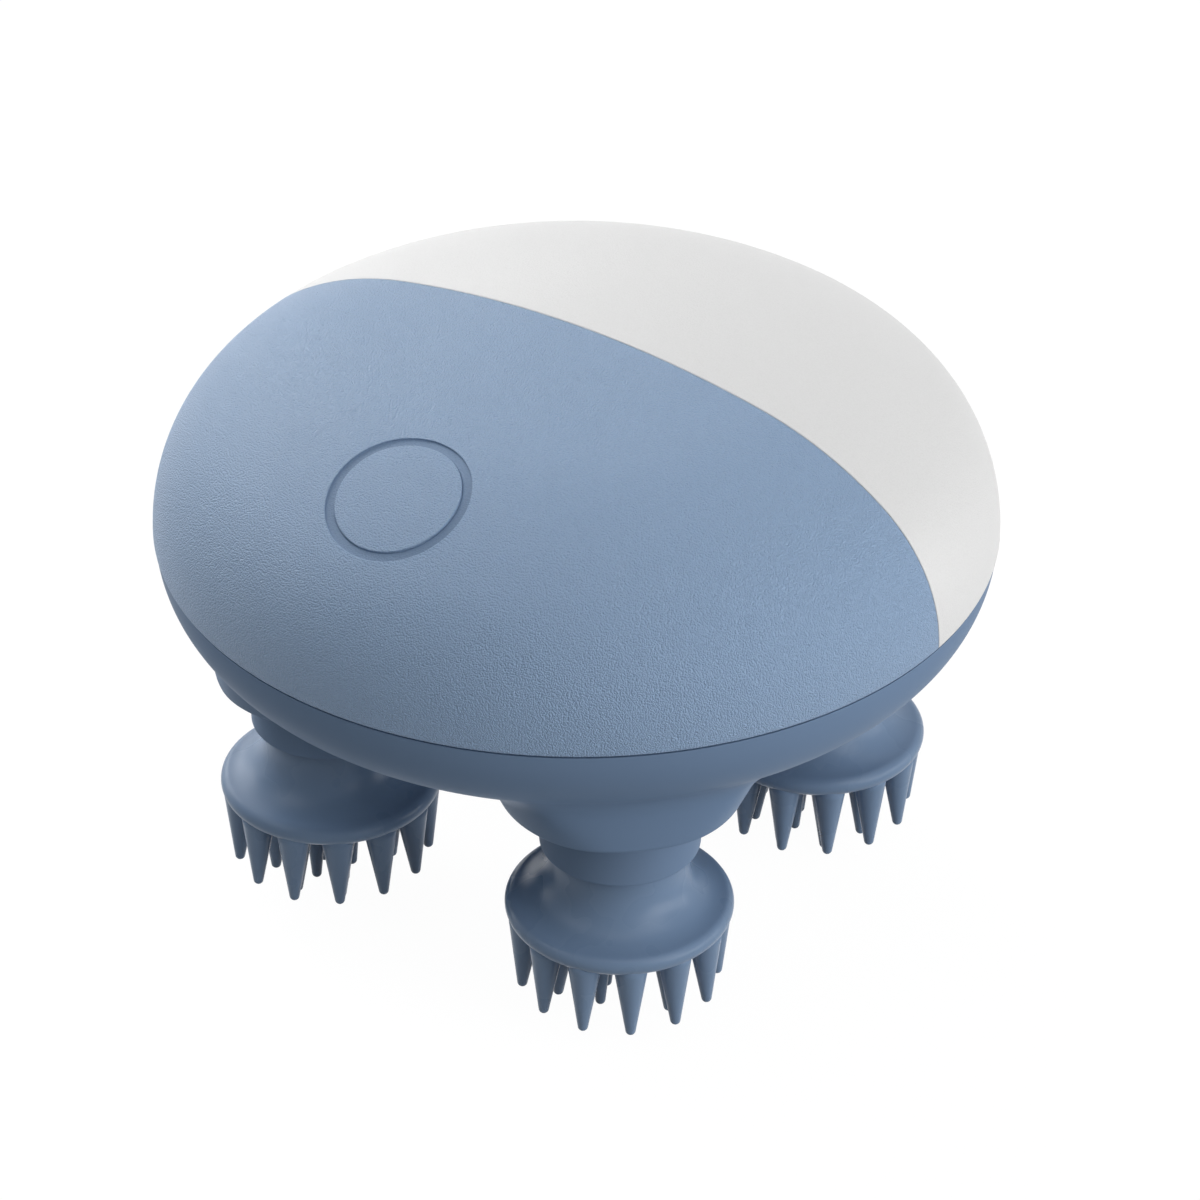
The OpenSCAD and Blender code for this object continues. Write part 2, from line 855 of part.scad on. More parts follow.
module gear_plate() {
    color(PLATE_GREY)
        difference() {
            rod(centre_distance + journal_r + plate_edge, gear_plate_z, gear_plate_z + plate_t);
            rod(sun_opening_r, gear_plate_z - 1, gear_plate_z + plate_t + 1);
            for (corner = CORNERS)
                at_head(corner)
                    rod(journal_r + journal_fit, gear_plate_z - 1, gear_plate_z + plate_t + 1);
            for (at = POSTS)
                translate([at[0], at[1], gear_plate_z - 1])
                    cylinder(r = screw_r + 0.1, h = plate_t + 2);
            translate([0, idler_y, gear_plate_z - 1])
                cylinder(r = axle_r + press, h = plate_t + 2);
        }
}

module motor_plate() {
    color(PLATE_GREY)
        difference() {
            union() {
                rod(post_reach + post_r + 1, motor_plate_z, motor_z);
                for (at = POSTS)
                    casing_post(at, gear_plate_z + plate_t, motor_plate_z + 1);
            }
            for (at = POSTS)
                translate([at[0], at[1], gear_plate_z])
                    cylinder(r = screw_r + 0.1, h = motor_z - gear_plate_z + 1);
            rod(axle_r + press, motor_plate_z - 1, motor_z + 1);
            translate([0, idler_y, motor_plate_z - 1])
                cylinder(r = axle_r + press, h = plate_t + 2);
            for (at = PEGS)
                translate([at[0], at[1], motor_plate_z - 1])
                    cylinder(r = peg_r + press, h = plate_t + 2);
            translate([0, motor_y, motor_plate_z - 1]) {
                cylinder(r = motor_neck_r + 0.2, h = plate_t + 2);
                for (x = [-motor_screw_reach, motor_screw_reach])
                    translate([x, 0, 0])
                        cylinder(r = motor_screw_r + 0.1, h = plate_t + 2);
            }
        }
}

// Screw with a round head; it points down, and its seat is at the origin
module screw(r, head_r, head_h, length) {
    cylinder(r = head_r, h = head_h);
    translate([0, 0, -length])
        cylinder(r = r, h = length + head_h / 2);
}

module gearbox_screws() {
    color(STEEL)
        for (at = POSTS)
            translate([at[0], at[1], motor_z])
                screw(screw_r, screw_head_r, screw_head_h, motor_z - floor_z - 2);
}

module motor_screws() {
    color(STEEL)
        for (x = [-motor_screw_reach, motor_screw_reach])
            translate([x, motor_y, motor_plate_z])
                rotate([180, 0, 0])
                    screw(motor_screw_r, small_head_r, layer_gap - 0.2, plate_t + 2);
}

module casing_screws() {
    color(STEEL)
        for (at = CASING_SCREWS)
            translate([at[0], at[1], recess_top_z])
                rotate([180, 0, 0])
                    screw(screw_r, screw_head_r, screw_head_h, lug_z - recess_top_z + 6);
}

// ---- Battery and boards ----

module battery_tray() {
    color(PLATE_GREY)
        translate([0, battery_y, motor_z])
            difference() {
                union() {
                    translate([-tray_w / 2, -tray_d / 2, 0])
                        cube([tray_w, tray_d, tray_t + tray_clear + battery_h - 1]);
                    for (x = [-tray_post_x, tray_post_x])
                        translate([x, 0, 0])
                            cylinder(r = tray_post_r, h = board_z - motor_z);
                }
                translate([-tray_w / 2 + tray_t, -tray_d / 2 + tray_t, tray_t])
                    cube([tray_w - 2 * tray_t, tray_d - 2 * tray_t, 3 * battery_h]);
                for (x = [-tray_post_x, tray_post_x])
                    translate([x, 0, board_z - motor_z - 5])
                        cylinder(r = motor_screw_r - 0.1, h = 6);
            }
    color(PLATE_GREY)
        for (at = PEGS)
            translate([at[0], at[1], motor_plate_z])
                cylinder(r = peg_r, h = plate_t + tray_t / 2);
}

module battery() {
    edge_r = 1.5;
    color(CELL_SILVER)
        translate([-battery_w / 2, battery_y - battery_d / 2, motor_z + tray_t + 0.05])
            linear_extrude(battery_h)
                hull()
                    for (x = [edge_r, battery_w - edge_r], y = [edge_r, battery_d - edge_r])
                        translate([x, y])
                            circle(edge_r, $fn = 32);
}

module circuit_board() {
    color(BOARD_GREEN)
        difference() {
            union() {
                translate([-tray_w / 2 - 1.6, battery_y - board_d / 2, board_z])
                    cube([tray_w + 3.2, board_d, board_t]);
                translate([-6, battery_y - 4, board_z + board_t / 2])
                    cube(CHIP);
                translate([8, battery_y - 3, board_z + board_t / 2])
                    cube(COIL);
            }
            for (x = [-tray_post_x, tray_post_x])
                translate([x, battery_y, board_z - 1])
                    cylinder(r = motor_screw_r + 0.1, h = board_t + 2);
        }
}

module board_screws() {
    color(STEEL)
        for (x = [-tray_post_x, tray_post_x])
            translate([x, battery_y, board_z + board_t])
                screw(motor_screw_r - 0.15, small_head_r, 1.2, 5);
}

front_cover();
rear_cover();
upper_shell();
button_cap();
button_board();
tact_switch();
lower_casing();
seam_seal();
massage_head(FRONT_LEFT);  // massage_head_front_left
massage_head(FRONT_RIGHT);  // massage_head_front_right
massage_head(REAR_LEFT);  // massage_head_rear_left
massage_head(REAR_RIGHT);  // massage_head_rear_right
head_hub(FRONT_LEFT);  // head_hub_front_left
head_hub(FRONT_RIGHT);  // head_hub_front_right
head_hub(REAR_LEFT);  // head_hub_rear_left
head_hub(REAR_RIGHT);  // head_hub_rear_right
output_gear(FRONT_LEFT);  // output_gear_front_left
output_gear(FRONT_RIGHT);  // output_gear_front_right
output_gear(REAR_LEFT);  // output_gear_rear_left
output_gear(REAR_RIGHT);  // output_gear_rear_right
shaft_bush(FRONT_LEFT);  // shaft_bush_front_left
shaft_bush(FRONT_RIGHT);  // shaft_bush_front_right
shaft_bush(REAR_LEFT);  // shaft_bush_rear_left
shaft_bush(REAR_RIGHT);  // shaft_bush_rear_right
shaft_seal(FRONT_LEFT);  // shaft_seal_front_left
shaft_seal(FRONT_RIGHT);  // shaft_seal_front_right
shaft_seal(REAR_LEFT);  // shaft_seal_rear_left
shaft_seal(REAR_RIGHT);  // shaft_seal_rear_right
centre_wheel();
centre_axle();
idler_gear();
idler_axle();
motor_pinion();
motor_can();
gear_plate();
motor_plate();
gearbox_screws();
motor_screws();
casing_screws();
battery_tray();
battery();
circuit_board();
board_screws();
charge_contacts();
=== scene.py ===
"""Looks, studio and camera for a round electric scalp massager on its CAD frame.

Sizes are in millimetres until a mesh is written, which is in metres.
"""

import json
import logging
import math
from dataclasses import dataclass
from enum import Enum
from functools import partial
from typing import ClassVar

import bmesh
import bpy
import numpy as np
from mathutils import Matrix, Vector

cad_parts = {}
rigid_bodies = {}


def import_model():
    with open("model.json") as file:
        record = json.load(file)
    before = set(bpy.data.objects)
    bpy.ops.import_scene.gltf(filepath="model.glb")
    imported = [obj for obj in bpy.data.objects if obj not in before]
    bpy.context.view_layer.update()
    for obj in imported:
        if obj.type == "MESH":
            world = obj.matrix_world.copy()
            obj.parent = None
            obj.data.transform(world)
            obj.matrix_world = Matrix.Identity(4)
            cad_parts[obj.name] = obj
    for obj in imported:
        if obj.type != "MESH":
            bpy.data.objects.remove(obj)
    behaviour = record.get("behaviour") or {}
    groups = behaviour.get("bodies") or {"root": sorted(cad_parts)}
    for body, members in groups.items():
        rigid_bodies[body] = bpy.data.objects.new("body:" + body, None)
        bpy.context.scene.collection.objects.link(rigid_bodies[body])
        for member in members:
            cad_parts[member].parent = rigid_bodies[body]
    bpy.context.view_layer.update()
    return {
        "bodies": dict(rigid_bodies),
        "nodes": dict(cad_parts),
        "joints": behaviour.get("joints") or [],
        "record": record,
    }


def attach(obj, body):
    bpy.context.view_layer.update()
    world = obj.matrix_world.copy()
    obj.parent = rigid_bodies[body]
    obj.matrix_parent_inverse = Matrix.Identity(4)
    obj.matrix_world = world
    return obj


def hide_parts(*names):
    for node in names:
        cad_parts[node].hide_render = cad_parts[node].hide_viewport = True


LOG = logging.getLogger("massager")
MM = 0.001
# Angle in radians that counts as none
TINY = 1e-9
# Angles of the points around a rounded edge
ROUNDING = np.radians([0.0, 22.5, 45.0, 67.5, 90.0])
HEAD_PLACES = {
    "front_left": (-1.0, -1.0),
    "front_right": (1.0, -1.0),
    "rear_left": (-1.0, 1.0),
    "rear_right": (1.0, 1.0),
}


class Texture(Enum):
    """The named surface textures that a finish can choose."""

    PEBBLED = "pebbled_skin"
    MOULDED = "moulded_texture"


# ---- Plain geometry -------------------------------------------------------


@dataclass(frozen=True)
class Arc:
    """An arc of a meridian, in the half plane of radius and height.

    Attributes:
        cx: Radius of the arc's centre.
        cz: Height of the arc's centre.
        radius: Radius of the arc.
        start: First angle in radians, from level.
        stop: Last angle in radians.
    """

    cx: float
    cz: float
    radius: float
    start: float
    stop: float

    @property
    def length(self) -> float:
        """The arc's length."""
        return abs(self.stop - self.start) * self.radius


class Meridian:
    """A profile of tangent arcs, measured by its length from its outer end to the axis.

    The disc coordinates of a point are its plan direction and, as radius, the share of the
    profile's length that lies between it and the axis, so the rim is the unit circle.
    """

    def __init__(self, arcs: list[Arc]) -> None:
        """Keeps the arcs and the length at which each begins.

        Args:
            arcs: The arcs in order, from the rim to the axis.
        """
        self.arcs = arcs
        self.starts = np.cumsum([0.0] + [a.length for a in arcs])
        self.total = float(self.starts[-1])

    def section(self, along: np.ndarray, depth: np.ndarray) -> tuple[np.ndarray, np.ndarray]:
        """Points of the profile, moved inwards along its normal.

        On each arc the angle grows by the length over the radius. The point is the arc's centre
        plus, in the angle's direction, the radius less the depth.

        Args:
            along: Length from the rim.
            depth: Distance below the surface.

        Returns:
            Radii and heights.
        """
        r = np.zeros(np.broadcast(along, depth).shape)
        z = np.zeros_like(r)
        last = len(self.arcs) - 1
        for i, arc in enumerate(self.arcs):
            inside = (along >= self.starts[i]) | (i == 0)
            inside &= (along < self.starts[i + 1]) | (i == last)
            turn = (along - self.starts[i]) / arc.radius * np.sign(arc.stop - arc.start)
            angle = arc.start + turn
            r = np.where(inside, arc.cx + (arc.radius - depth) * np.cos(angle), r)
            z = np.where(inside, arc.cz + (arc.radius - depth) * np.sin(angle), z)
        return r, z

    def point(self, disc: np.ndarray, depth: float | np.ndarray = 0.0) -> np.ndarray:
        """Points in space for disc coordinates.

        The disc's radius gives the length along the profile, and its direction turns the
        profile's point about the axis.

        Args:
            disc: Array (..., 2) of disc coordinates.
            depth: Distance below the surface.

        Returns:
            Array (..., 3) in millimetres.
        """
        share = np.hypot(disc[..., 0], disc[..., 1])
        turn = np.arctan2(disc[..., 1], disc[..., 0])
        r, z = self.section(self.total * (1.0 - share), np.asarray(depth, float))
        return np.stack([r * np.cos(turn), r * np.sin(turn), z], -1)

    def disc_of(self, xyz: np.ndarray) -> np.ndarray:
        """Disc coordinates of points that lie near the surface.

        The angle at an arc's centre gives the length along it. The first arc whose angle isn't
        passed counts, and the disc's radius is what is left of the length.

        Args:
            xyz: Array (..., 3).

        Returns:
            Array (..., 2).
        """
        r = np.hypot(xyz[..., 0], xyz[..., 1])
        along = np.zeros_like(r)
        for i in range(len(self.arcs) - 1, -1, -1):
            arc = self.arcs[i]
            angle = np.arctan2(xyz[..., 2] - arc.cz, r - arc.cx)
            turned = (angle - arc.start) * np.sign(arc.stop - arc.start)
            here = self.starts[i] + turned * arc.radius
            use = (turned <= arc.length / arc.radius + TINY) | (i == len(self.arcs) - 1)
            along = np.where(use, here, along)
        share = 1.0 - along / self.total
        turn = np.arctan2(xyz[..., 1], xyz[..., 0])
        return np.stack([share * np.cos(turn), share * np.sin(turn)], -1)


@dataclass
class Patch:
    """Vertices and four-sided faces, which are put together and then welded.

    Attributes:
        verts: Array (n, 3) in millimetres.
        quads: Array (m, 4) of vertex numbers.
    """

    verts: np.ndarray
    quads: np.ndarray

    @staticmethod
    def grid(rows: np.ndarray, wrap_rows: bool = False, wrap_cols: bool = False) -> "Patch":
        """A patch over a grid of points: a face joins each point to its next row and column.

        Args:
            rows: Array (m, n, 3).
            wrap_rows: Joins the last row to the first.
            wrap_cols: Joins the last column to the first.

        Returns:
            The patch.
        """
        m, n = rows.shape[:2]
        i = np.arange(m if wrap_rows else m - 1)
        j = np.arange(n if wrap_cols else n - 1)
        a, b = np.meshgrid(i, j, indexing="ij")
        c, d = (a + 1) % m, (b + 1) % n
        quads = np.stack([a * n + b, a * n + d, c * n + d, c * n + b], -1).reshape(-1, 4)
        return Patch(rows.reshape(-1, 3), quads)

    def flipped(self) -> "Patch":
        """The patch with its faces turned over."""
        return Patch(self.verts, self.quads[:, ::-1])

    def moved(self, matrix: np.ndarray, shift: np.ndarray) -> "Patch":
        """Turns and moves a patch: the matrix times each point, plus the shift.

        Args:
            matrix: Array (3, 3).
            shift: Array (3,).

        Returns:
            The new patch; its faces stay outward under a mirror matrix.
        """
        quads = self.quads if np.linalg.det(matrix) > 0 else self.quads[:, ::-1]
        return Patch(self.verts @ matrix.T + shift, quads)

    @staticmethod
    def joined(patches: list["Patch"]) -> "Patch":
        """Puts patches together.

        Args:
            patches: The patches.

        Returns:
            One patch, not yet welded.
        """
        offsets = np.cumsum([0] + [len(p.verts) for p in patches])
        quads = [p.quads + o for p, o in zip(patches, offsets)]
        return Patch(np.concatenate([p.verts for p in patches]), np.concatenate(quads))

    def volume(self) -> float:
        """The signed volume that the faces enclose, as a sum of tetrahedra from the origin.

        Returns:
            Cubic millimetres, more than 0 when the faces point outwards.
        """
        a, b, c, d = (self.verts[self.quads[:, k]] for k in range(4))
        first = np.einsum("ij,ij->i", a, np.cross(b, c)).sum()
        second = np.einsum("ij,ij->i", a, np.cross(c, d)).sum()
        return float(first + second) / 6.0

    def outward(self) -> "Patch":
        """The patch with its faces turned outwards."""
        return self if self.volume() > 0 else self.flipped()

    def write(self, name: str, weld: float = 1e-4) -> bpy.types.Object:
        """Welds the patch and makes a smooth-shaded mesh object of it.

        Points whose places round to the same step become one. A face keeps its corners that
        still differ, and goes when fewer than three are left.

        Args:
            name: The object's name.
            weld: Distance in millimetres under which vertices become one.

        Returns:
            The object, linked to the scene.
        """
        key = np.round(self.verts / weld).astype(np.int64)
        _, first, back = np.unique(key, axis=0, return_index=True, return_inverse=True)
        quads = back.reshape(-1)[self.quads]
        nxt = np.roll(quads, -1, axis=1)
        keep = quads != nxt
        count = keep.sum(1)
        opposite = (quads[:, 0] == quads[:, 2]) | (quads[:, 1] == quads[:, 3])
        good = (count >= 3) & ~opposite
        quads, keep, count = quads[good], keep[good], count[good]
        loops = quads[keep]
        starts = np.concatenate([[0], np.cumsum(count)[:-1]])
        mesh = bpy.data.meshes.new(name)
        verts = self.verts[first] * MM
        mesh.vertices.add(len(verts))
        mesh.vertices.foreach_set("co", verts.astype(np.float32).ravel())
        mesh.loops.add(len(loops))
        mesh.loops.foreach_set("vertex_index", loops.astype(np.int32))
        mesh.polygons.add(len(count))
        mesh.polygons.foreach_set("loop_start", starts.astype(np.int32))
        mesh.polygons.foreach_set("loop_total", count.astype(np.int32))
        mesh.polygons.foreach_set("use_smooth", np.ones(len(count), bool))
        mesh.update(calc_edges=True)
        mesh.validate()
        obj = bpy.data.objects.new(name, mesh)
        bpy.context.scene.collection.objects.link(obj)
        return obj


def spin(profile: np.ndarray, columns: int, place: tuple[float, float] = (0.0, 0.0)) -> Patch:
    """A surface of revolution about a vertical axis.

    Each point is the profile's radius times the cosine and sine of its column's angle.

    Args:
        profile: Array (m, 2) of radius and height.
        columns: Number of steps around.
        place: Plan position of the axis.

    Returns:
        The patch, closed around.
    """
    turn = np.arange(columns) * 2.0 * np.pi / columns
    r, z = profile[:, :1], profile[:, 1:]
    x = place[0] + r * np.cos(turn)
    y = place[1] + r * np.sin(turn)
    rows = np.stack([x, y, np.broadcast_to(z, x.shape)], -1)
    return Patch.grid(rows, wrap_cols=True)


def fillet_profile(
    corners: list[tuple[float, float, float]], steps: int = 5, lead: float = 0.3
) -> np.ndarray:
    """A polyline whose corners are rounded with arcs.

    An arc touches both runs, so its centre lies on the corner's bisector, at its radius over the
    sine of half the corner's angle.

    Args:
        corners: Radius, height and rounding radius of each corner.
        steps: Points per rounding.
        lead: Distance, in rounding radii, of a further point on the straight runs before and
            after each rounding, which keeps the shading flat between roundings.

    Returns:
        Array (n, 2).
    """
    pts = [np.array(corners[0][:2])]
    for before, here, after in zip(corners, corners[1:], corners[2:]):
        p, a, b = (np.array(c[:2]) for c in (here, before, after))
        u, v = (a - p) / np.linalg.norm(a - p), (b - p) / np.linalg.norm(b - p)
        half = 0.5 * math.acos(float(np.clip(u @ v, -1.0, 1.0)))
        reach = here[2] / math.tan(half)
        centre = p + (u + v) / np.linalg.norm(u + v) * here[2] / math.sin(half)
        first, last = p + u * reach - centre, p + v * reach - centre
        t0, t1 = math.atan2(first[1], first[0]), math.atan2(last[1], last[0])
        sweep = (t1 - t0 + math.pi) % (2.0 * math.pi) - math.pi
        t = t0 + sweep * np.linspace(0.0, 1.0, steps)
        arc = centre + here[2] * np.stack([np.cos(t), np.sin(t)], -1)
        pts += [arc[0] + u * lead * here[2], *arc, arc[-1] + v * lead * here[2]]
    pts.append(np.array(corners[-1][:2]))
    return np.array(pts)


def merged(first: bpy.types.Object, second: bpy.types.Object) -> bpy.types.Object:
    """Puts the second object's mesh into the first.

    Args:
        first: The object that stays.
        second: The object that goes.

    Returns:
        The first object.
    """
    both = bmesh.new()
    both.from_mesh(first.data)
    both.from_mesh(second.data)
    both.to_mesh(first.data)
    both.free()
    bpy.data.objects.remove(second)
    return first


# ---- Finishes ---------------------------------------------------------------


def socket_group(
    name: str, inputs: dict[str, float], outputs: tuple[str, ...] = ("Height", "Mask", "Gloss")
) -> tuple[bpy.types.NodeTree, bpy.types.Node, bpy.types.Node]:
    """Starts a shader node group with value sockets.

    Args:
        name: The group's name.
        inputs: Names and defaults of its inputs.
        outputs: Names of its outputs.

    Returns:
        The tree, its input node and its output node.
    """
    tree = bpy.data.node_groups.new(name, "ShaderNodeTree")
    for key, value in inputs.items():
        item = tree.interface.new_socket(key, in_out="INPUT", socket_type="NodeSocketFloat")
        item.default_value = value
    for key in outputs:
        tree.interface.new_socket(key, in_out="OUTPUT", socket_type="NodeSocketFloat")
    return tree, tree.nodes.new("NodeGroupInput"), tree.nodes.new("NodeGroupOutput")


Socket = bpy.types.NodeSocket


def maths(
    tree: bpy.types.NodeTree,
    op: str,
    a: Socket | float,
    b: Socket | float | None = None,
    c: Socket | float | None = None,
    clamp: bool = False,
) -> Socket:
    """Adds a math node.

    Args:
        tree: The node tree.
        op: The operation.
        a: First socket or number.
        b: Second socket or number.
        c: Third socket or number.
        clamp: Limits the result to 0..1.

    Returns:
        The result socket.
    """
    node = tree.nodes.new("ShaderNodeMath")
    node.operation = op
    node.use_clamp = clamp
    for i, value in enumerate((a, b, c)):
        if value is None:
            continue
        if isinstance(value, (int, float)):
            node.inputs[i].default_value = value
        else:
            tree.links.new(value, node.inputs[i])
    return node.outputs[0]


def noise(
    tree: bpy.types.NodeTree,
    vector: Socket,
    scale: Socket | float,
    detail: float,
    roughness: float = 0.5,
) -> Socket:
    """Adds a noise texture.

    Args:
        tree: The node tree.
        vector: Coordinate socket.
        scale: Number or socket, in waves per metre.
        detail: Octaves.
        roughness: Share of each further octave.

    Returns:
        The value socket.
    """
    node = tree.nodes.new("ShaderNodeTexNoise")
    node.inputs["Detail"].default_value = detail
    node.inputs["Roughness"].default_value = roughness
    tree.links.new(vector, node.inputs["Vector"])
    if isinstance(scale, (int, float)):
        node.inputs["Scale"].default_value = scale
    else:
        tree.links.new(scale, node.inputs["Scale"])
    return node.outputs[0]


@dataclass(frozen=True)
class PebbledSkin:
    """Pebbled skin: very small rounded cells of uneven size, pushed about by a slow noise.

    Scales are in waves per metre.

    Attributes:
        scale: Default number of cells per metre.
        push_scale: Scale of the noise that pushes the cells about.
        push: Length of that push in metres.
        smooth: Smoothness of the borders between cells.
        fine_scale: Scale of the noise that breaks up each cell.
        fine_share: Height of that noise, in heights of a cell.
        pore_start: Distance from a cell's centre at which a pore begins.
        pore_full: Distance at which it is complete.
        gloss_scale: Scale of the slow clouds of gloss.
    """

    scale: float = 3300.0
    push_scale: float = 1800.0
    push: float = 0.0003
    smooth: float = 0.3
    fine_scale: float = 9000.0
    fine_share: float = 0.25
    pore_start: float = 0.35
    pore_full: float = 0.75
    gloss_scale: float = 45.0

    def build(self) -> bpy.types.NodeTree:
        """Makes the group.

        The height is one less the smooth distance to the nearest cell centre, plus the finer
        noise. The pores are where that distance is large.

        Returns:
            The group, with outputs Height, Mask and Gloss.
        """
        tree, gin, gout = socket_group(Texture.PEBBLED.value, {"Scale": self.scale})
        coord = tree.nodes.new("ShaderNodeTexCoord").outputs["Object"]
        warp = tree.nodes.new("ShaderNodeTexNoise")
        warp.inputs["Scale"].default_value = self.push_scale
        warp.inputs["Detail"].default_value = 1.0
        tree.links.new(coord, warp.inputs["Vector"])
        push = tree.nodes.new("ShaderNodeVectorMath")
        push.operation = "MULTIPLY_ADD"
        push.inputs[1].default_value = (self.push, self.push, self.push)
        tree.links.new(warp.outputs["Color"], push.inputs[0])
        tree.links.new(coord, push.inputs[2])
        cells = tree.nodes.new("ShaderNodeTexVoronoi")
        cells.feature = "SMOOTH_F1"
        cells.inputs["Smoothness"].default_value = self.smooth
        tree.links.new(push.outputs[0], cells.inputs["Vector"])
        tree.links.new(gin.outputs["Scale"], cells.inputs["Scale"])
        dome = maths(tree, "SUBTRACT", 1.0, cells.outputs["Distance"])
        fine = noise(tree, coord, self.fine_scale, 2.0)
        height = maths(tree, "MULTIPLY_ADD", fine, self.fine_share, dome)
        tree.links.new(height, gout.inputs["Height"])
        pore = tree.nodes.new("ShaderNodeMapRange")
        pore.inputs["From Min"].default_value = self.pore_start
        pore.inputs["From Max"].default_value = self.pore_full
        tree.links.new(cells.outputs["Distance"], pore.inputs["Value"])
        tree.links.new(pore.outputs[0], gout.inputs["Mask"])
        tree.links.new(noise(tree, coord, self.gloss_scale, 3.0), gout.inputs["Gloss"])
        return tree


@dataclass(frozen=True)
class MouldedSkin:
    """Moulded surface: a very fine erosion texture and slow clouds of tone and gloss.

    Scales are in waves per metre.

    Attributes:
        scale: Default scale of the erosion.
        rough: Share of each further octave of the erosion.
        tone_scale: Scale of the clouds of tone.
        gloss_scale: Scale of the clouds of gloss.
    """

    scale: float = 5000.0
    rough: float = 0.6
    tone_scale: float = 60.0
    gloss_scale: float = 140.0

    def build(self) -> bpy.types.NodeTree:
        """Makes the group.

        Returns:
            The group, with outputs Height, Mask and Gloss.
        """
        tree, gin, gout = socket_group(Texture.MOULDED.value, {"Scale": self.scale})
        coord = tree.nodes.new("ShaderNodeTexCoord").outputs["Object"]
        height = noise(tree, coord, gin.outputs["Scale"], 3.0, self.rough)
        tree.links.new(height, gout.inputs["Height"])
        tree.links.new(noise(tree, coord, self.tone_scale, 4.0), gout.inputs["Mask"])
        tree.links.new(noise(tree, coord, self.gloss_scale, 2.0), gout.inputs["Gloss"])
        return tree


@dataclass(frozen=True)
class EdgeWear:
    """Light wear on convex edges, broken up by noise.

    Attributes:
        start: Pointiness at which wear begins.
        full: Pointiness at which it is complete.
        patch_scale: Scale of the noise in waves per metre.
        patch_level: Value of the noise above which there is wear.
    """

    start: float = 0.52
    full: float = 0.60
    patch_scale: float = 700.0
    patch_level: float = 0.42

    def build(self) -> bpy.types.NodeTree:
        """Makes the group: the ramp of pointiness, times the patches, times the amount.

        Returns:
            The group, with output Wear.
        """
        tree, gin, gout = socket_group("edge_wear", {"Amount": 1.0}, ("Wear",))
        coord = tree.nodes.new("ShaderNodeTexCoord").outputs["Object"]
        point = tree.nodes.new("ShaderNodeNewGeometry").outputs["Pointiness"]
        ramp = tree.nodes.new("ShaderNodeMapRange")
        ramp.inputs["From Min"].default_value = self.start
        ramp.inputs["From Max"].default_value = self.full
        tree.links.new(point, ramp.inputs["Value"])
        patches = noise(tree, coord, self.patch_scale, 4.0)
        broken = maths(tree, "GREATER_THAN", patches, self.patch_level)
        wear = maths(tree, "MULTIPLY", ramp.outputs[0], broken)
        wear = maths(tree, "MULTIPLY", wear, gin.outputs["Amount"], clamp=True)
        tree.links.new(wear, gout.inputs["Wear"])
        return tree


class Groups:
    """The shared node groups, each made once."""

    def __init__(self) -> None:
        """Makes the groups."""
        self.textures = {Texture.PEBBLED: PebbledSkin().build(),
                         Texture.MOULDED: MouldedSkin().build()}
        self.edges = EdgeWear().build()


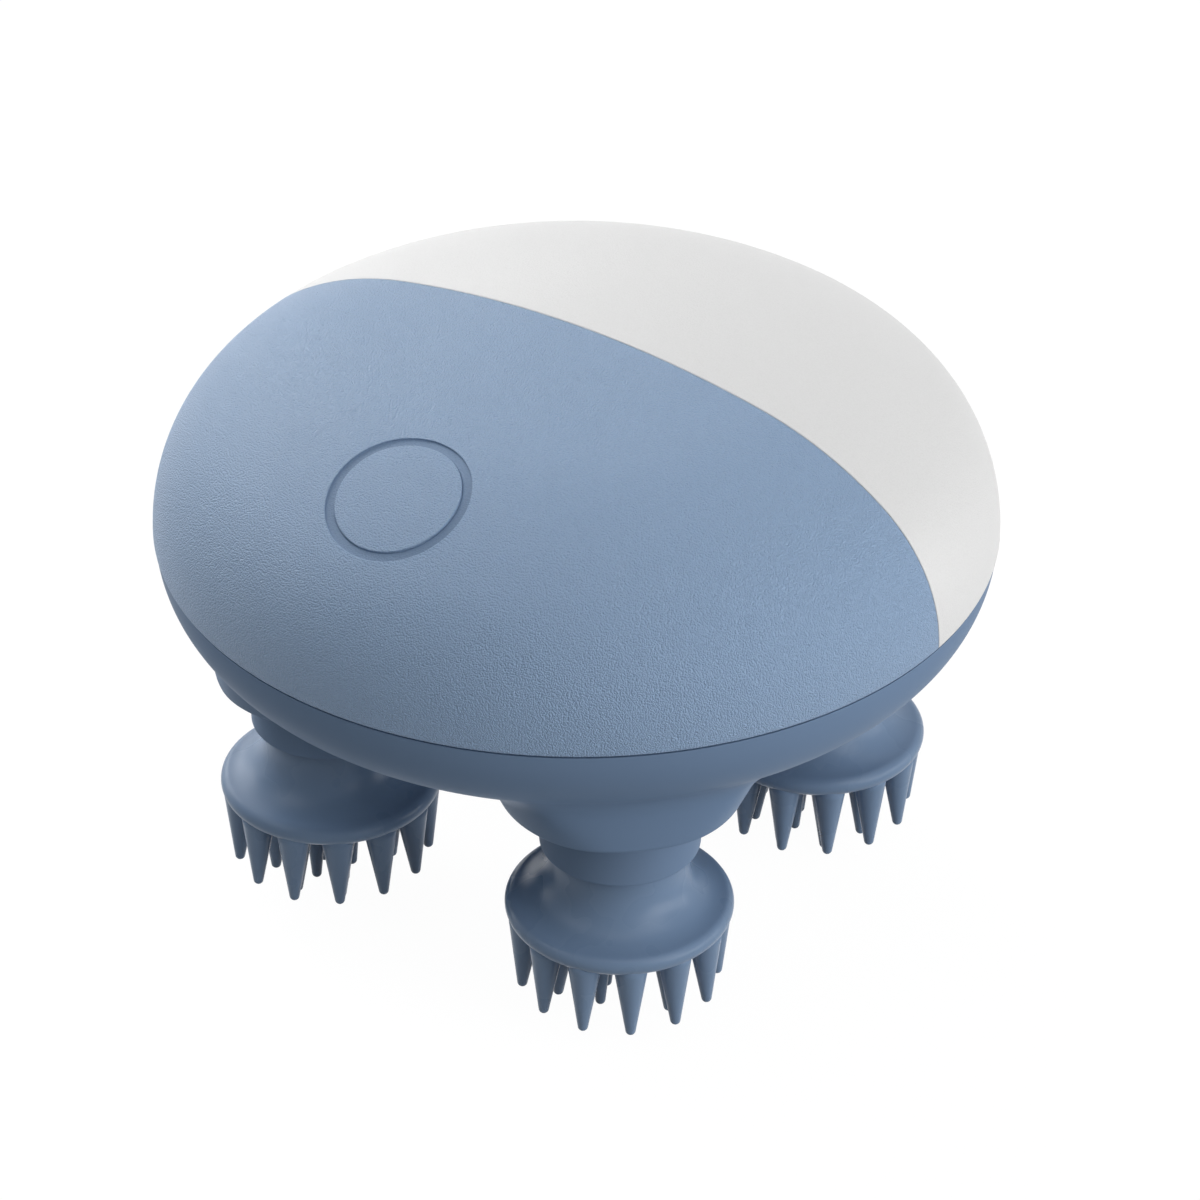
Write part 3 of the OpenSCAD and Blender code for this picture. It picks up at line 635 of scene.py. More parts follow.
@dataclass(frozen=True)
class Finish:
    """A surface finish for the Principled shader.

    Attributes:
        name: Material name.
        colour: Linear base colour.
        second: Linear colour of the texture's mask.
        roughness: Middle roughness.
        texture: Which surface texture it has.
        grain: Texture scale in cells per metre.
        bump: Height of the texture in metres.
        metallic: 0 or 1.
        specular: Specular level.
        coat: Coat weight.
        wear: Amount of light edge wear.
        gloss_spread: Difference in roughness between the dullest and the shiniest spot.
        coat_roughness: Roughness of the coat.
        worn_gain: Factor by which a worn edge is lighter.
        worn_lift: What is added to a worn edge's colour.
    """

    gloss_spread: ClassVar[float] = 0.16
    coat_roughness: ClassVar[float] = 0.3
    worn_gain: ClassVar[float] = 1.35
    worn_lift: ClassVar[float] = 0.02

    name: str
    colour: tuple[float, float, float]
    second: tuple[float, float, float]
    roughness: float
    texture: Texture = Texture.MOULDED
    grain: float = 5000.0
    bump: float = 0.00002
    metallic: float = 0.0
    specular: float = 0.5
    coat: float = 0.0
    wear: float = 0.0

    def build(self, groups: Groups) -> bpy.types.Material:
        """Makes the material.

        Args:
            groups: The shared node groups.

        Returns:
            The material.
        """
        mat = bpy.data.materials.new(self.name)
        mat.use_nodes = True
        mat.diffuse_color = (*self.colour, 1.0)
        tree = mat.node_tree
        shader = tree.nodes["Principled BSDF"]
        shader.inputs["Metallic"].default_value = self.metallic
        shader.inputs["Specular IOR Level"].default_value = self.specular
        shader.inputs["Coat Weight"].default_value = self.coat
        shader.inputs["Coat Roughness"].default_value = self.coat_roughness
        texture = tree.nodes.new("ShaderNodeGroup")
        texture.node_tree = groups.textures[self.texture]
        texture.inputs["Scale"].default_value = self.grain
        mix = tree.nodes.new("ShaderNodeMix")
        mix.data_type = "RGBA"
        mix.inputs["A"].default_value = (*self.colour, 1.0)
        mix.inputs["B"].default_value = (*self.second, 1.0)
        tree.links.new(texture.outputs["Mask"], mix.inputs["Factor"])
        colour = mix.outputs["Result"]
        if self.wear:
            colour = self.worn(tree, colour, groups)
        tree.links.new(colour, shader.inputs["Base Color"])
        low = self.roughness - 0.5 * self.gloss_spread
        rough = maths(tree, "MULTIPLY_ADD", texture.outputs["Gloss"], self.gloss_spread, low)
        tree.links.new(rough, shader.inputs["Roughness"])
        bump = tree.nodes.new("ShaderNodeBump")
        bump.inputs["Strength"].default_value = 1.0
        bump.inputs["Distance"].default_value = self.bump
        tree.links.new(texture.outputs["Height"], bump.inputs["Height"])
        tree.links.new(bump.outputs["Normal"], shader.inputs["Normal"])
        return mat

    def worn(self, tree: bpy.types.NodeTree, colour: Socket, groups: Groups) -> Socket:
        """Lightens the colour along worn edges.

        Args:
            tree: The material's node tree.
            colour: The colour so far.
            groups: The shared node groups.

        Returns:
            The new colour.
        """
        edges = tree.nodes.new("ShaderNodeGroup")
        edges.node_tree = groups.edges
        edges.inputs["Amount"].default_value = self.wear
        worn = tree.nodes.new("ShaderNodeMix")
        worn.data_type = "RGBA"
        light = tuple(min(1.0, c * self.worn_gain + self.worn_lift) for c in self.colour)
        worn.inputs["B"].default_value = (*light, 1.0)
        tree.links.new(colour, worn.inputs["A"])
        tree.links.new(edges.outputs["Wear"], worn.inputs["Factor"])
        return worn.outputs["Result"]


def srgb(r: float, g: float, b: float) -> tuple[float, float, float]:
    """Turns a display colour into a linear one.

    Args:
        r: Red, 0 to 255.
        g: Green, 0 to 255.
        b: Blue, 0 to 255.

    Returns:
        Linear values from 0 to 1.
    """
    shown = np.array([r, g, b]) / 255.0
    linear = np.where(shown <= 0.04045, shown / 12.92, ((shown + 0.055) / 1.055) ** 2.4)
    return float(linear[0]), float(linear[1]), float(linear[2])


SKIN_BLUE = Finish("skin_blue", srgb(144, 170, 202), srgb(140, 166, 198), 0.42,
                   Texture.PEBBLED, 5000.0, 0.00015, specular=0.36)
SKIN_WHITE = Finish("skin_white", srgb(230, 230, 230), srgb(227, 227, 227), 0.42,
                    Texture.PEBBLED, 5000.0, 0.00003, specular=0.45)
# The groove's darker blue is painted shade for the button's recess, not a colour of its own.
GROOVE_PAINTED_SHADE = Finish("groove_painted_shade", srgb(122, 146, 176), srgb(118, 142, 172), 0.5,
                Texture.PEBBLED, 5000.0, 0.00006, specular=0.3)
CASING = Finish("casing_satin", srgb(118, 141, 171), srgb(115, 138, 168), 0.42,
                bump=0.000002, specular=0.02, wear=0.15)
SILICONE = Finish("silicone_soft", srgb(120, 143, 172), srgb(117, 140, 169), 0.28,
                  bump=0.000001, specular=0.17)
COLLAR = Finish("collar_satin", srgb(120, 142, 171), srgb(117, 139, 168), 0.42,
                bump=0.000002, specular=0.02, wear=0.15)
SHELL = Finish("shell_plastic", srgb(150, 138, 124), srgb(140, 128, 114), 0.5)
NYLON = Finish("gear_nylon", srgb(238, 234, 220), srgb(230, 225, 208), 0.42)
STEEL = Finish("turned_steel", srgb(180, 182, 186), srgb(160, 162, 168), 0.30, metallic=1.0)
BRONZE = Finish("sintered_bronze", srgb(168, 124, 76), srgb(140, 100, 60), 0.45, metallic=1.0)
BRASS = Finish("machined_brass", srgb(212, 176, 96), srgb(190, 154, 80), 0.25, metallic=1.0)
SEAL = Finish("seal_rubber", srgb(52, 62, 76), srgb(46, 56, 70), 0.65)
PLATE = Finish("plate_plastic", srgb(140, 145, 152), srgb(130, 135, 142), 0.5)
BOARD = Finish("board_green", srgb(20, 84, 48), srgb(14, 66, 38), 0.28, coat=0.4)
SWITCH = Finish("switch_black", srgb(24, 24, 26), srgb(18, 18, 20), 0.4)
CELL = Finish("cell_foil", srgb(168, 172, 180), srgb(150, 154, 162), 0.35, metallic=1.0)
FLOOR = srgb(180, 180, 179)


# ---- The body's covers and button -------------------------------------------


@dataclass(frozen=True)
class DomeSize:
    """Sizes of the dome.

    Attributes:
        body_r: Widest radius, at the seam.
        seam_z: Height of the seam.
        rim_r: Radius of the edge arc.
        rim_turn: Angle of the edge arc.
        mid_r: Radius of the arc towards the crown.
        mid_turn: Angle at which the crown begins.
    """

    body_r: float = 52.7
    seam_z: float = 52.2
    rim_r: float = 20.4
    rim_turn: float = math.radians(54.7)
    mid_r: float = 44.8
    mid_turn: float = math.radians(78.9)

    def meridian(self) -> Meridian:
        """The dome's profile: a rim arc, a wider arc and the crown, each tangent to the next.

        Each centre lies on the line from the arc before it through the joint, and the crown's
        is brought to the axis.

        Returns:
            The profile.
        """
        c1 = (self.body_r - self.rim_r, self.seam_z)
        d = self.mid_r - self.rim_r
        c2 = (c1[0] - d * math.cos(self.rim_turn), c1[1] - d * math.sin(self.rim_turn))
        e = c2[0] / math.cos(self.mid_turn)
        c3 = (0.0, c2[1] - e * math.sin(self.mid_turn))
        return Meridian([
            Arc(*c1, self.rim_r, 0.0, self.rim_turn),
            Arc(*c2, self.mid_r, self.rim_turn, self.mid_turn),
            Arc(*c3, self.mid_r + e, self.mid_turn, math.pi / 2),
        ])


@dataclass(frozen=True)
class ButtonSize:
    """Sizes of the button and its groove.

    Attributes:
        y: Distance of its centre from the axis.
        cap_r: Radius of the cap.
        bore_r: Radius of the hole around the cap.
        groove_r: Outer radius of the groove.
        groove_d: Depth of the groove.
        bevel: Rounding of the groove's floor.
        edge: Rounding of the edges.
        flange_r: Radius of the flange under the cap.
        flange_z: Depth of the flange's underside.
        flange_h: Thickness of the flange.
        wall_z: Depth of the row half way down the cap's wall.
        sag: Twice the dome's radius of curvature here, which gives a first guess of its drop.
        lead: Distance from an edge, in roundings, of the row that keeps the dome's shading flat.
        cap_share: Rounding of the cap's edge, as a share of the other edges'.
        top_rows: Rows on the cap's top.
        columns: Number of steps around.
        passes: Passes that bring a point onto the dome.
        slack: Distance outside the groove at which a face still counts as its own.
    """

    y: float = 36.4
    cap_r: float = 7.7
    bore_r: float = 7.72
    groove_r: float = 8.9
    groove_d: float = 0.3
    bevel: float = 0.04
    edge: float = 0.1
    flange_r: float = 8.6
    flange_z: float = 5.3
    flange_h: float = 1.0
    wall_z: float = 2.6
    sag: float = 110.0
    lead: float = 1.8
    cap_share: float = 0.8
    top_rows: int = 26
    columns: int = 144
    passes: int = 12
    slack: float = 0.01


class ButtonFrame:
    """The button's tilted coordinates on the dome."""

    def __init__(self, dome: Meridian, size: ButtonSize) -> None:
        """Works out the button's axis, which is square to the dome.

        Args:
            dome: The dome's profile.
            size: The button's sizes.
        """
        mid = dome.arcs[1]
        tilt = math.asin((size.y - mid.cx) / mid.radius)
        self.dome, self.size = dome, size
        self.centre = np.array([0.0, -size.y, mid.cz + mid.radius * math.cos(tilt)])
        self.out = np.array([0.0, -math.sin(tilt), math.cos(tilt)])
        self.across = np.array([1.0, 0.0, 0.0])
        self.up = np.cross(self.out, self.across)

    def local(self, radius: np.ndarray, turn: np.ndarray, lift: np.ndarray) -> np.ndarray:
        """Points in the button's cylinder coordinates.

        They are the centre, plus the radius along a turned flat axis, plus the lift along the
        button's axis.

        Args:
            radius: Distance from the button's axis.
            turn: Angle around it.
            lift: Height along it.

        Returns:
            Array (..., 3).
        """
        radius, turn, lift = np.broadcast_arrays(radius, turn, lift)
        flat = radius[..., None] * (np.cos(turn)[..., None] * self.across
                                    + np.sin(turn)[..., None] * self.up)
        return self.centre + flat + lift[..., None] * self.out

    def on_dome(self, radius: np.ndarray, turn: np.ndarray, depth: np.ndarray) -> np.ndarray:
        """Points where the cylinder of a radius meets the dome moved in by a depth.

        The height starts at the drop of a circle, and each pass adds what is still missing to
        the nearest point of the dome.

        Args:
            radius: Distance from the button's axis.
            turn: Angle around it.
            depth: Depth below the dome.

        Returns:
            Array (..., 3).
        """
        radius, turn, depth = np.broadcast_arrays(radius, turn, depth)
        lift = -np.asarray(depth, float) - radius**2 / self.size.sag
        for _ in range(self.size.passes):
            p = self.local(radius, turn, lift)
            q = self.dome.point(self.dome.disc_of(p), depth)
            lift = lift + ((q - p) @ self.out)
        return self.local(radius, turn, lift)

    def mark_groove_shade(self, obj: bpy.types.Object) -> None:
        """Gives the faces of the groove the second material slot, whose darker blue is painted
        shade in the recess.

        They lie within the groove's radius and less than three times its depth below the dome.

        Args:
            obj: The front cover.
        """
        mesh, size = obj.data, self.size
        middle = np.empty(3 * len(mesh.polygons), np.float32)
        mesh.polygons.foreach_get("center", middle)
        away = middle.reshape(-1, 3) / MM - self.centre
        lift = away @ self.out
        radius = np.linalg.norm(away - lift[:, None] * self.out, axis=1)
        depth = -lift - radius**2 / size.sag
        # These faces get the darker blue that paints shade into the groove.
        groove = (radius < size.groove_r + size.slack) & (depth < 3.0 * size.groove_d)
        mesh.polygons.foreach_set("material_index", groove.astype(np.int32))


@dataclass(frozen=True)
class CoverSize:
    """Sizes shared by both covers.

    Attributes:
        thick: Thickness.
        gap: Half of the gap between the covers.
        edge: Rounding at the parting line.
        rim_edge: Rounding at the lower edge.
        line_steps: Points along the parting line.
        rim_steps: Points along the rim.
        rows: Rows between hub and edge on the outside.
        back_rows: Rows between hub and edge on the inside.
        margin: Width of the border's band in roundings.
        rim_share: Disc radius past which a border point lies on the rim.
        hub_share: Disc radius of the plain pole.
    """

    thick: float = 1.2
    gap: float = 0.05
    edge: float = 0.12
    rim_edge: float = 0.2
    line_steps: int = 130
    rim_steps: int = 190
    rows: int = 96
    back_rows: int = 24
    margin: float = 2.5
    rim_share: float = 0.985
    hub_share: float = 0.42


class Cover:
    """One half of the dome's skin, as a closed thin body.

    The rows run from a hub, which is the button's groove or a plain pole, to the border of the
    half disc and back on the inside. In disc coordinates each row lies on straight lines from
    the hub to the border, so the outside follows the dome exactly.
    """

    def __init__(self, dome: Meridian, side: float, size: CoverSize) -> None:
        """Lays out the border: the parting line, then the half of the rim.

        Args:
            dome: The dome's profile.
            side: -1 for the front, 1 for the rear.
            size: Sizes.
        """
        self.dome, self.side, self.size = dome, side, size
        x = np.cos(np.linspace(0.0, np.pi, size.line_steps + 1))[:-1]
        line = np.stack([x, np.zeros_like(x)], -1)
        turn = np.pi + np.linspace(0.0, np.pi, size.rim_steps + 1)[:-1]
        rim = np.stack([np.cos(turn), np.sin(turn)], -1)
        border = np.concatenate([line, rim])
        if side > 0:
            border = border * np.array([1.0, -1.0])
        self.border = border

    def bordered(self, inset: float, rim_inset: float) -> np.ndarray:
        """The border in disc coordinates, moved into the half disc.

        Rim points are pulled in to a limit of disc radius, and all points are held off the
        parting line by a distance.

        Args:
            inset: Distance from the parting line.
            rim_inset: Distance from the rim.

        Returns:
            Array (n, 2).
        """
        limit = 1.0 - rim_inset / self.dome.total
        share = np.hypot(self.border[:, 0], self.border[:, 1])
        p = self.border * np.minimum(1.0, limit / share)[:, None]
        y = np.maximum(p[:, 1] * self.side, (inset + self.size.gap) / self.dome.total)
        return np.stack([p[:, 0], y * self.side], -1)

    def edge_rows(self) -> list[np.ndarray]:
        """The rows around the border's rounding, a quarter circle, and down its edge.

        Returns:
            The rows.
        """
        rows = []
        for a in ROUNDING:
            near, deep = 1.0 - math.sin(a), 1.0 - math.cos(a)
            disc = self.bordered(self.size.edge * near, self.size.rim_edge * near)
            on_rim = np.hypot(disc[:, 0], disc[:, 1]) > self.size.rim_share
            depth = np.where(on_rim, self.size.rim_edge, self.size.edge) * deep
            rows.append(self.dome.point(disc, depth))
        rows.append(self.dome.point(self.bordered(0.0, 0.0), 0.5 * self.size.thick))
        rows.append(self.dome.point(self.bordered(0.0, 0.0), self.size.thick))
        return rows

    def sheet(
        self, hub: np.ndarray, border: np.ndarray, depth: float, rows: int
    ) -> list[np.ndarray]:
        """Rows on one depth, at even shares of the straight disc lines from hub to border.

        Args:
            hub: Disc coordinates of the hub's row.
            border: Disc coordinates of the border's row.
            depth: Depth below the outside.
            rows: Number of rows.

        Returns:
            The rows, from hub to border, without either end.
        """
        t = np.linspace(0.0, 1.0, rows + 2)[1:-1]
        return [self.dome.point(hub * (1.0 - s) + border * s, depth) for s in t]

    def finished(self, rows: list[np.ndarray], wrap: bool, name: str) -> bpy.types.Object:
        """Closes the rows, holds them off the parting plane and writes the object.

        Args:
            rows: All rows in order around the section.
            wrap: Joins the last row to the first.
            name: Object name.

        Returns:
            The object.
        """
        grid = np.stack(rows)
        grid[..., 1] = self.side * np.maximum(grid[..., 1] * self.side, self.size.gap)
        return Patch.grid(grid, wrap_rows=wrap, wrap_cols=True).outward().write(name)


class FrontCover(Cover):
    """The blue half, with the bore and groove of the button."""

    def build(self, frame: ButtonFrame) -> bpy.types.Object:
        """Builds the cover: up the bore, over the groove, along the dome and back inside.

        Args:
            frame: The button's coordinates.

        Returns:
            The object.
        """
        button = frame.size
        hub = self.dome.disc_of(frame.centre)
        turn = np.arctan2(self.border[:, 1] - hub[1], self.border[:, 0] - hub[0])
        e, size = button.edge, self.size
        rows = []
        low, bevel = button.groove_d, button.bevel
        for r, d in ((button.bore_r, size.thick), (button.bore_r, 0.5 * (size.thick + low)),
                     (button.bore_r, low + bevel), (button.bore_r + bevel, low),
                     (button.bore_r + 5.0 * bevel, low), (button.groove_r - 5.0 * bevel, low),
                     (button.groove_r - 1.5 * bevel, low - 0.5 * bevel),
                     (button.groove_r - 0.25 * bevel, low - 1.75 * bevel)):
            rows.append(frame.on_dome(np.array(r), turn, np.array(d)))
        for a in ROUNDING[::-1]:
            r = button.groove_r + e * (1.0 - math.sin(a))
            rows.append(frame.on_dome(np.array(r), turn, np.array(e * (1.0 - math.cos(a)))))
        rows.append(frame.on_dome(np.array(button.groove_r + button.lead * e), turn, np.array(0.0)))
        start = self.dome.disc_of(rows[-1])
        inner = self.dome.disc_of(rows[0])
        near = self.bordered(size.margin * size.edge, size.margin * size.rim_edge)
        rows += self.sheet(start, near, 0.0, size.rows)
        rows.append(self.dome.point(near, 0.0))
        rows += self.edge_rows()
        rows += self.sheet(inner, self.bordered(0.0, 0.0), size.thick, size.back_rows)[::-1]
        return self.finished(rows, True, "front_cover_skin")


class RearCover(Cover):
    """The white half, plain."""

    def build(self) -> bpy.types.Object:
        """Builds the cover, from its pole along the dome and back inside.

        Returns:
            The object.
        """
        size = self.size
        hub = np.zeros_like(self.border) + np.array([0.0, size.hub_share * self.side])
        near = self.bordered(size.margin * size.edge, size.margin * size.rim_edge)
        rows = [self.dome.point(hub, 0.0)]
        rows += self.sheet(hub, near, 0.0, size.rows)
        rows.append(self.dome.point(near, 0.0))
        rows += self.edge_rows()
        rows += self.sheet(hub, self.bordered(0.0, 0.0), size.thick, size.back_rows)[::-1]
        rows.append(self.dome.point(hub, size.thick))
        return self.finished(rows, False, "rear_cover_skin")


class ButtonCap:
    """The button's cap: its top follows the dome, with a rounded edge, stem and flange."""

    def __init__(self, frame: ButtonFrame) -> None:
        """Keeps the button's coordinates, which hold its sizes."""
        self.frame, self.size = frame, frame.size

    def build(self) -> bpy.types.Object:
        """Builds the cap: out along the dome, around the edge and down to the flange.

        Returns:
            The object.
        """
        size = self.size
        turn = np.arange(size.columns) * 2.0 * np.pi / size.columns
        e = size.cap_share * size.edge
        rows = [self.frame.on_dome(np.array(r), turn, np.array(0.0))
                for r in np.linspace(0.0, size.cap_r - size.lead * e, size.top_rows)]
        for a in ROUNDING:
            r = size.cap_r - e * (1.0 - math.sin(a))
            rows.append(self.frame.on_dome(np.array(r), turn, np.array(e * (1.0 - math.cos(a)))))
        rows.append(self.frame.on_dome(np.array(size.cap_r), turn, np.array(size.groove_d)))
        top, low = size.flange_z - size.flange_h, size.flange_z
        for r, z in ((size.cap_r, -size.wall_z), (size.cap_r, -top), (size.flange_r, -top),
                     (size.flange_r, -low), (0.0, -low)):
            rows.append(self.frame.local(np.array(r), turn, np.array(z)))
        return Patch.grid(np.stack(rows), wrap_cols=True).outward().write("button_cap_skin")


# ---- Lower casing -------------------------------------------------------------


@dataclass(frozen=True)
class CasingSize:
    """Sizes of the lower casing.

    Attributes:
        rim: Radius of the widest circle.
        seam_z: Height of the widest circle.
        top_z: Height of the top edge.
        rim_r: Radius of the edge arc.
        depth: Depth of the bowl.
        flat_r: Radius of the flat bottom.
        wall: Wall thickness.
        head: Plan distance of a head's axis from the middle planes.
        boss_r: Radius of a boss at its underside.
        boss_z: Height of that underside.
        flare: Sideways growth of a boss per millimetre of height.
        reach: Largest distance of a boss from the body's axis.
        bore_r: Bore for the shaft's bush.
        tower_r: Radius of the tower around the bush.
        tower_z: Height of its top.
        edge: Rounding of the boss's lower edge.
        blend: Half length of the soft blend between boss and bowl.
        screw: Plan position of the casing screw in one quarter.
        recess_r: Radius of a screw's recess.
        recess_z: Height of its floor.
        sleeve_t: Thickness of the wall around it.
        tuck: Height of that wall's foot above the bowl's outside.
        clear: Clearance that keeps wall and bowl apart.
        post_r: Radius of a screw post.
        post_z: Height of its top.
        pilot_r: Radius of the hole for the screw.
        guess_z: Height from which the meeting of boss and bowl is searched.
        soft: Softness of the corner between a boss's flare and its reach.
        give: Share of that softness by which the corner is let out again.
        chamfer: Chamfer at the bore's foot.
        bore_row: Height above the boss's underside of a row in the bore.
        first_row: Distance from the bore of the first row on the underside.
        last_row: Distance from the lower edge's rounding of the last row on the underside.
        edge_steps: Points around the lower edge's rounding.
        flank_row: Stretch of the boss's side, of which at most a quarter is below its first row.
        flank_share: Largest share of the boss's side that the blend takes.
        passes: Passes that find where boss and bowl meet outside.
        inner_passes: Passes that find where they meet inside.
        samples: Points at which the inside's profile is read off.
        line_steps: Points along each middle plane.
        rim_steps: Points along a quarter of the rim.
        bowl_rows: Rows on the bowl's outside.
        inner_rows: Rows on the bowl's inside.
        hollow_rows: Rows on the wall of a boss's hollow.
        cut_below: Length of a recess's cutter below the bowl.
        cut_above: Its length above the recess's floor.
        round_steps: Steps around a screw's recess.
        sharp: Angle in degrees past which an edge is shaded sharp.
    """

    rim: float = 52.5
    seam_z: float = 52.2
    top_z: float = 51.92
    rim_r: float = 13.5
    depth: float = 17.8
    flat_r: float = 26.3
    wall: float = 2.2
    head: float = 22.5
    boss_r: float = 14.85
    boss_z: float = 33.1
    flare: float = 0.4515
    reach: float = 46.32
    bore_r: float = 4.6
    tower_r: float = 6.0
    tower_z: float = 37.7
    edge: float = 0.45
    blend: float = 2.4
    screw: tuple[float, float] = (38.637, 10.353)
    recess_r: float = 2.8
    recess_z: float = 41.4
    sleeve_t: float = 1.2
    tuck: float = 0.8
    clear: float = 0.02
    post_r: float = 3.0
    post_z: float = 46.0
    pilot_r: float = 1.7
    guess_z: float = 38.0
    soft: float = 1.0
    give: float = 0.12
    chamfer: float = 0.2
    bore_row: float = 1.9
    first_row: float = 0.6
    last_row: float = 0.3
    edge_steps: int = 6
    flank_row: float = 0.8
    flank_share: float = 0.9
    passes: int = 30
    inner_passes: int = 60
    samples: int = 600
    line_steps: int = 62
    rim_steps: int = 100
    bowl_rows: int = 36
    inner_rows: int = 16
    hollow_rows: int = 6
    cut_below: float = 4.4
    cut_above: float = 2.1
    round_steps: int = 48
    sharp: float = 40.0


class Casing:
    """The bowl with its four bosses, built as four mirrored quarters.

    Each quarter's rows run from a boss's bore along its underside, around its lower edge, up
    its side, through a parabolic blend and then over the bowl to the quarter's border.
    """

    def __init__(self, size: CasingSize) -> None:
        """Works out the bowl's profile: a rim arc, a wide arc tangent to it, and the flat bottom.

        The flat is an arc of a very large radius. Half the angle at the joint of rim arc and
        wide arc is the arctangent of their rises and runs.

        Args:
            size: The sizes.
        """
        self.size = size
        a, b = size.rim - size.flat_r, size.depth
        turn = 2.0 * math.atan((a - size.rim_r) / (b - size.rim_r)) - math.pi / 2
        wide = size.rim_r + (b - size.rim_r) / (1.0 - math.sin(turn))
        self.bowl_z = size.seam_z - size.depth
        start = -math.asin((size.seam_z - size.top_z) / size.rim_r)
        self.cx = size.rim - size.rim_r
        self.turn, self.wide = turn, wide
        flat = 1e7
        self.outer = Meridian([
            Arc(self.cx, size.seam_z, size.rim_r, start, -turn),
            Arc(size.flat_r, self.bowl_z + wide, wide, -turn, -math.pi / 2),
            Arc(size.flat_r, self.bowl_z + flat, flat, -math.pi / 2,
                -math.pi / 2 - size.flat_r / flat),
        ])

    def bowl_height(self, r: np.ndarray) -> np.ndarray:
        """Height of the bowl's outside: flat, then the wide arc's circle, then the rim's.

        Args:
            r: Distance from the body's axis.

        Returns:
            Heights.
        """
        size = self.size
        joint = self.cx + size.rim_r * math.cos(self.turn)
        deep = np.clip(r - size.flat_r, 0.0, self.wide)
        wide = self.bowl_z + self.wide - np.sqrt(self.wide**2 - deep**2)
        out = np.clip(r - self.cx, 0.0, size.rim_r)
        edge = size.seam_z - np.sqrt(size.rim_r**2 - out**2)
        return np.where(r < size.flat_r, self.bowl_z, np.where(r < joint, wide, edge))

    def boss_radius(self, turn: np.ndarray, z: np.ndarray) -> np.ndarray:
        """Radius of the boss about its own axis: its flare, held within the reach.

        It is the smaller of the cone's radius and the distance to the reach's circle, with the
        corner between the two rounded by a hyperbola.

        Args:
            turn: Plan direction from the boss's axis.
            z: Height.

        Returns:
            Radii.
        """
        size = self.size
        cone = size.boss_r + size.flare * (z - size.boss_z)
        along = size.head * (np.cos(turn) + np.sin(turn))
        limit = -along + np.sqrt(along**2 + size.reach**2 - 2.0 * size.head**2)
        corner = np.sqrt((cone - limit) ** 2 + size.soft**2)
        return 0.5 * (cone + limit - corner) + size.give * size.soft

    def plan(self, turn: np.ndarray, rho: np.ndarray) -> np.ndarray:
        """Plan positions at directions and distances from the boss's axis."""
        head = self.size.head
        return np.stack([head + rho * np.cos(turn), head + rho * np.sin(turn)], -1)

    def height_at(self, turn: np.ndarray, rho: np.ndarray) -> np.ndarray:
        """Heights of the bowl's outside at directions and distances from the boss's axis."""
        p = self.plan(turn, rho)
        return self.bowl_height(np.hypot(p[..., 0], p[..., 1]))

    def border(self) -> np.ndarray:
        """The quarter's border: along one middle plane, around the rim and back on the other.

        Returns:
            Disc coordinates, array (n, 2).
        """
        size = self.size
        line = np.linspace(0.0, 1.0, size.line_steps + 1)[:-1]
        turn = np.linspace(0.0, np.pi / 2, size.rim_steps + 1)[:-1]
        first = np.stack([line, np.zeros_like(line)], -1)
        arc = np.stack([np.cos(turn), np.sin(turn)], -1)
        last = np.stack([np.zeros_like(line), 1.0 - line], -1)
        return np.concatenate([first, arc, last])

    def ring_row(
        self, turn: np.ndarray, rho: float | np.ndarray, z: float | np.ndarray
    ) -> np.ndarray:
        """A row of points around the boss's axis.

        Args:
            turn: Directions.
            rho: Distances from the boss's axis.
            z: Heights.

        Returns:
            Array (n, 3).
        """
        rho, z = np.broadcast_to(rho, turn.shape), np.broadcast_to(z, turn.shape)
        return np.concatenate([self.plan(turn, rho), z[:, None]], -1)

    def underside(self, turn: np.ndarray) -> list[np.ndarray]:
        """Rows up the bore, over the boss's flat underside and around its lower edge.

        Args:
            turn: Directions of the rows' points from the boss's axis.

        Returns:
            The rows.
        """
        size, row = self.size, partial(self.ring_row, turn)
        low = self.boss_radius(turn, np.full_like(turn, size.boss_z))
        first, last = size.bore_r + size.first_row, low - size.edge - size.last_row
        rows = [row(size.bore_r, size.tower_z), row(size.bore_r, size.boss_z + size.bore_row),
                row(size.bore_r, size.boss_z + size.chamfer),
                row(size.bore_r + size.chamfer, size.boss_z)]
        rows += [row(first + (last - first) * s, size.boss_z) for s in (0.0, 0.33, 0.66, 1.0)]
        for a in np.radians(np.linspace(0.0, 90.0, size.edge_steps)):
            z = size.boss_z + size.edge * (1.0 - math.cos(a))
            back = size.edge * (1.0 - math.sin(a))
            rows.append(row(self.boss_radius(turn, np.full_like(turn, z)) - back, z))
        return rows

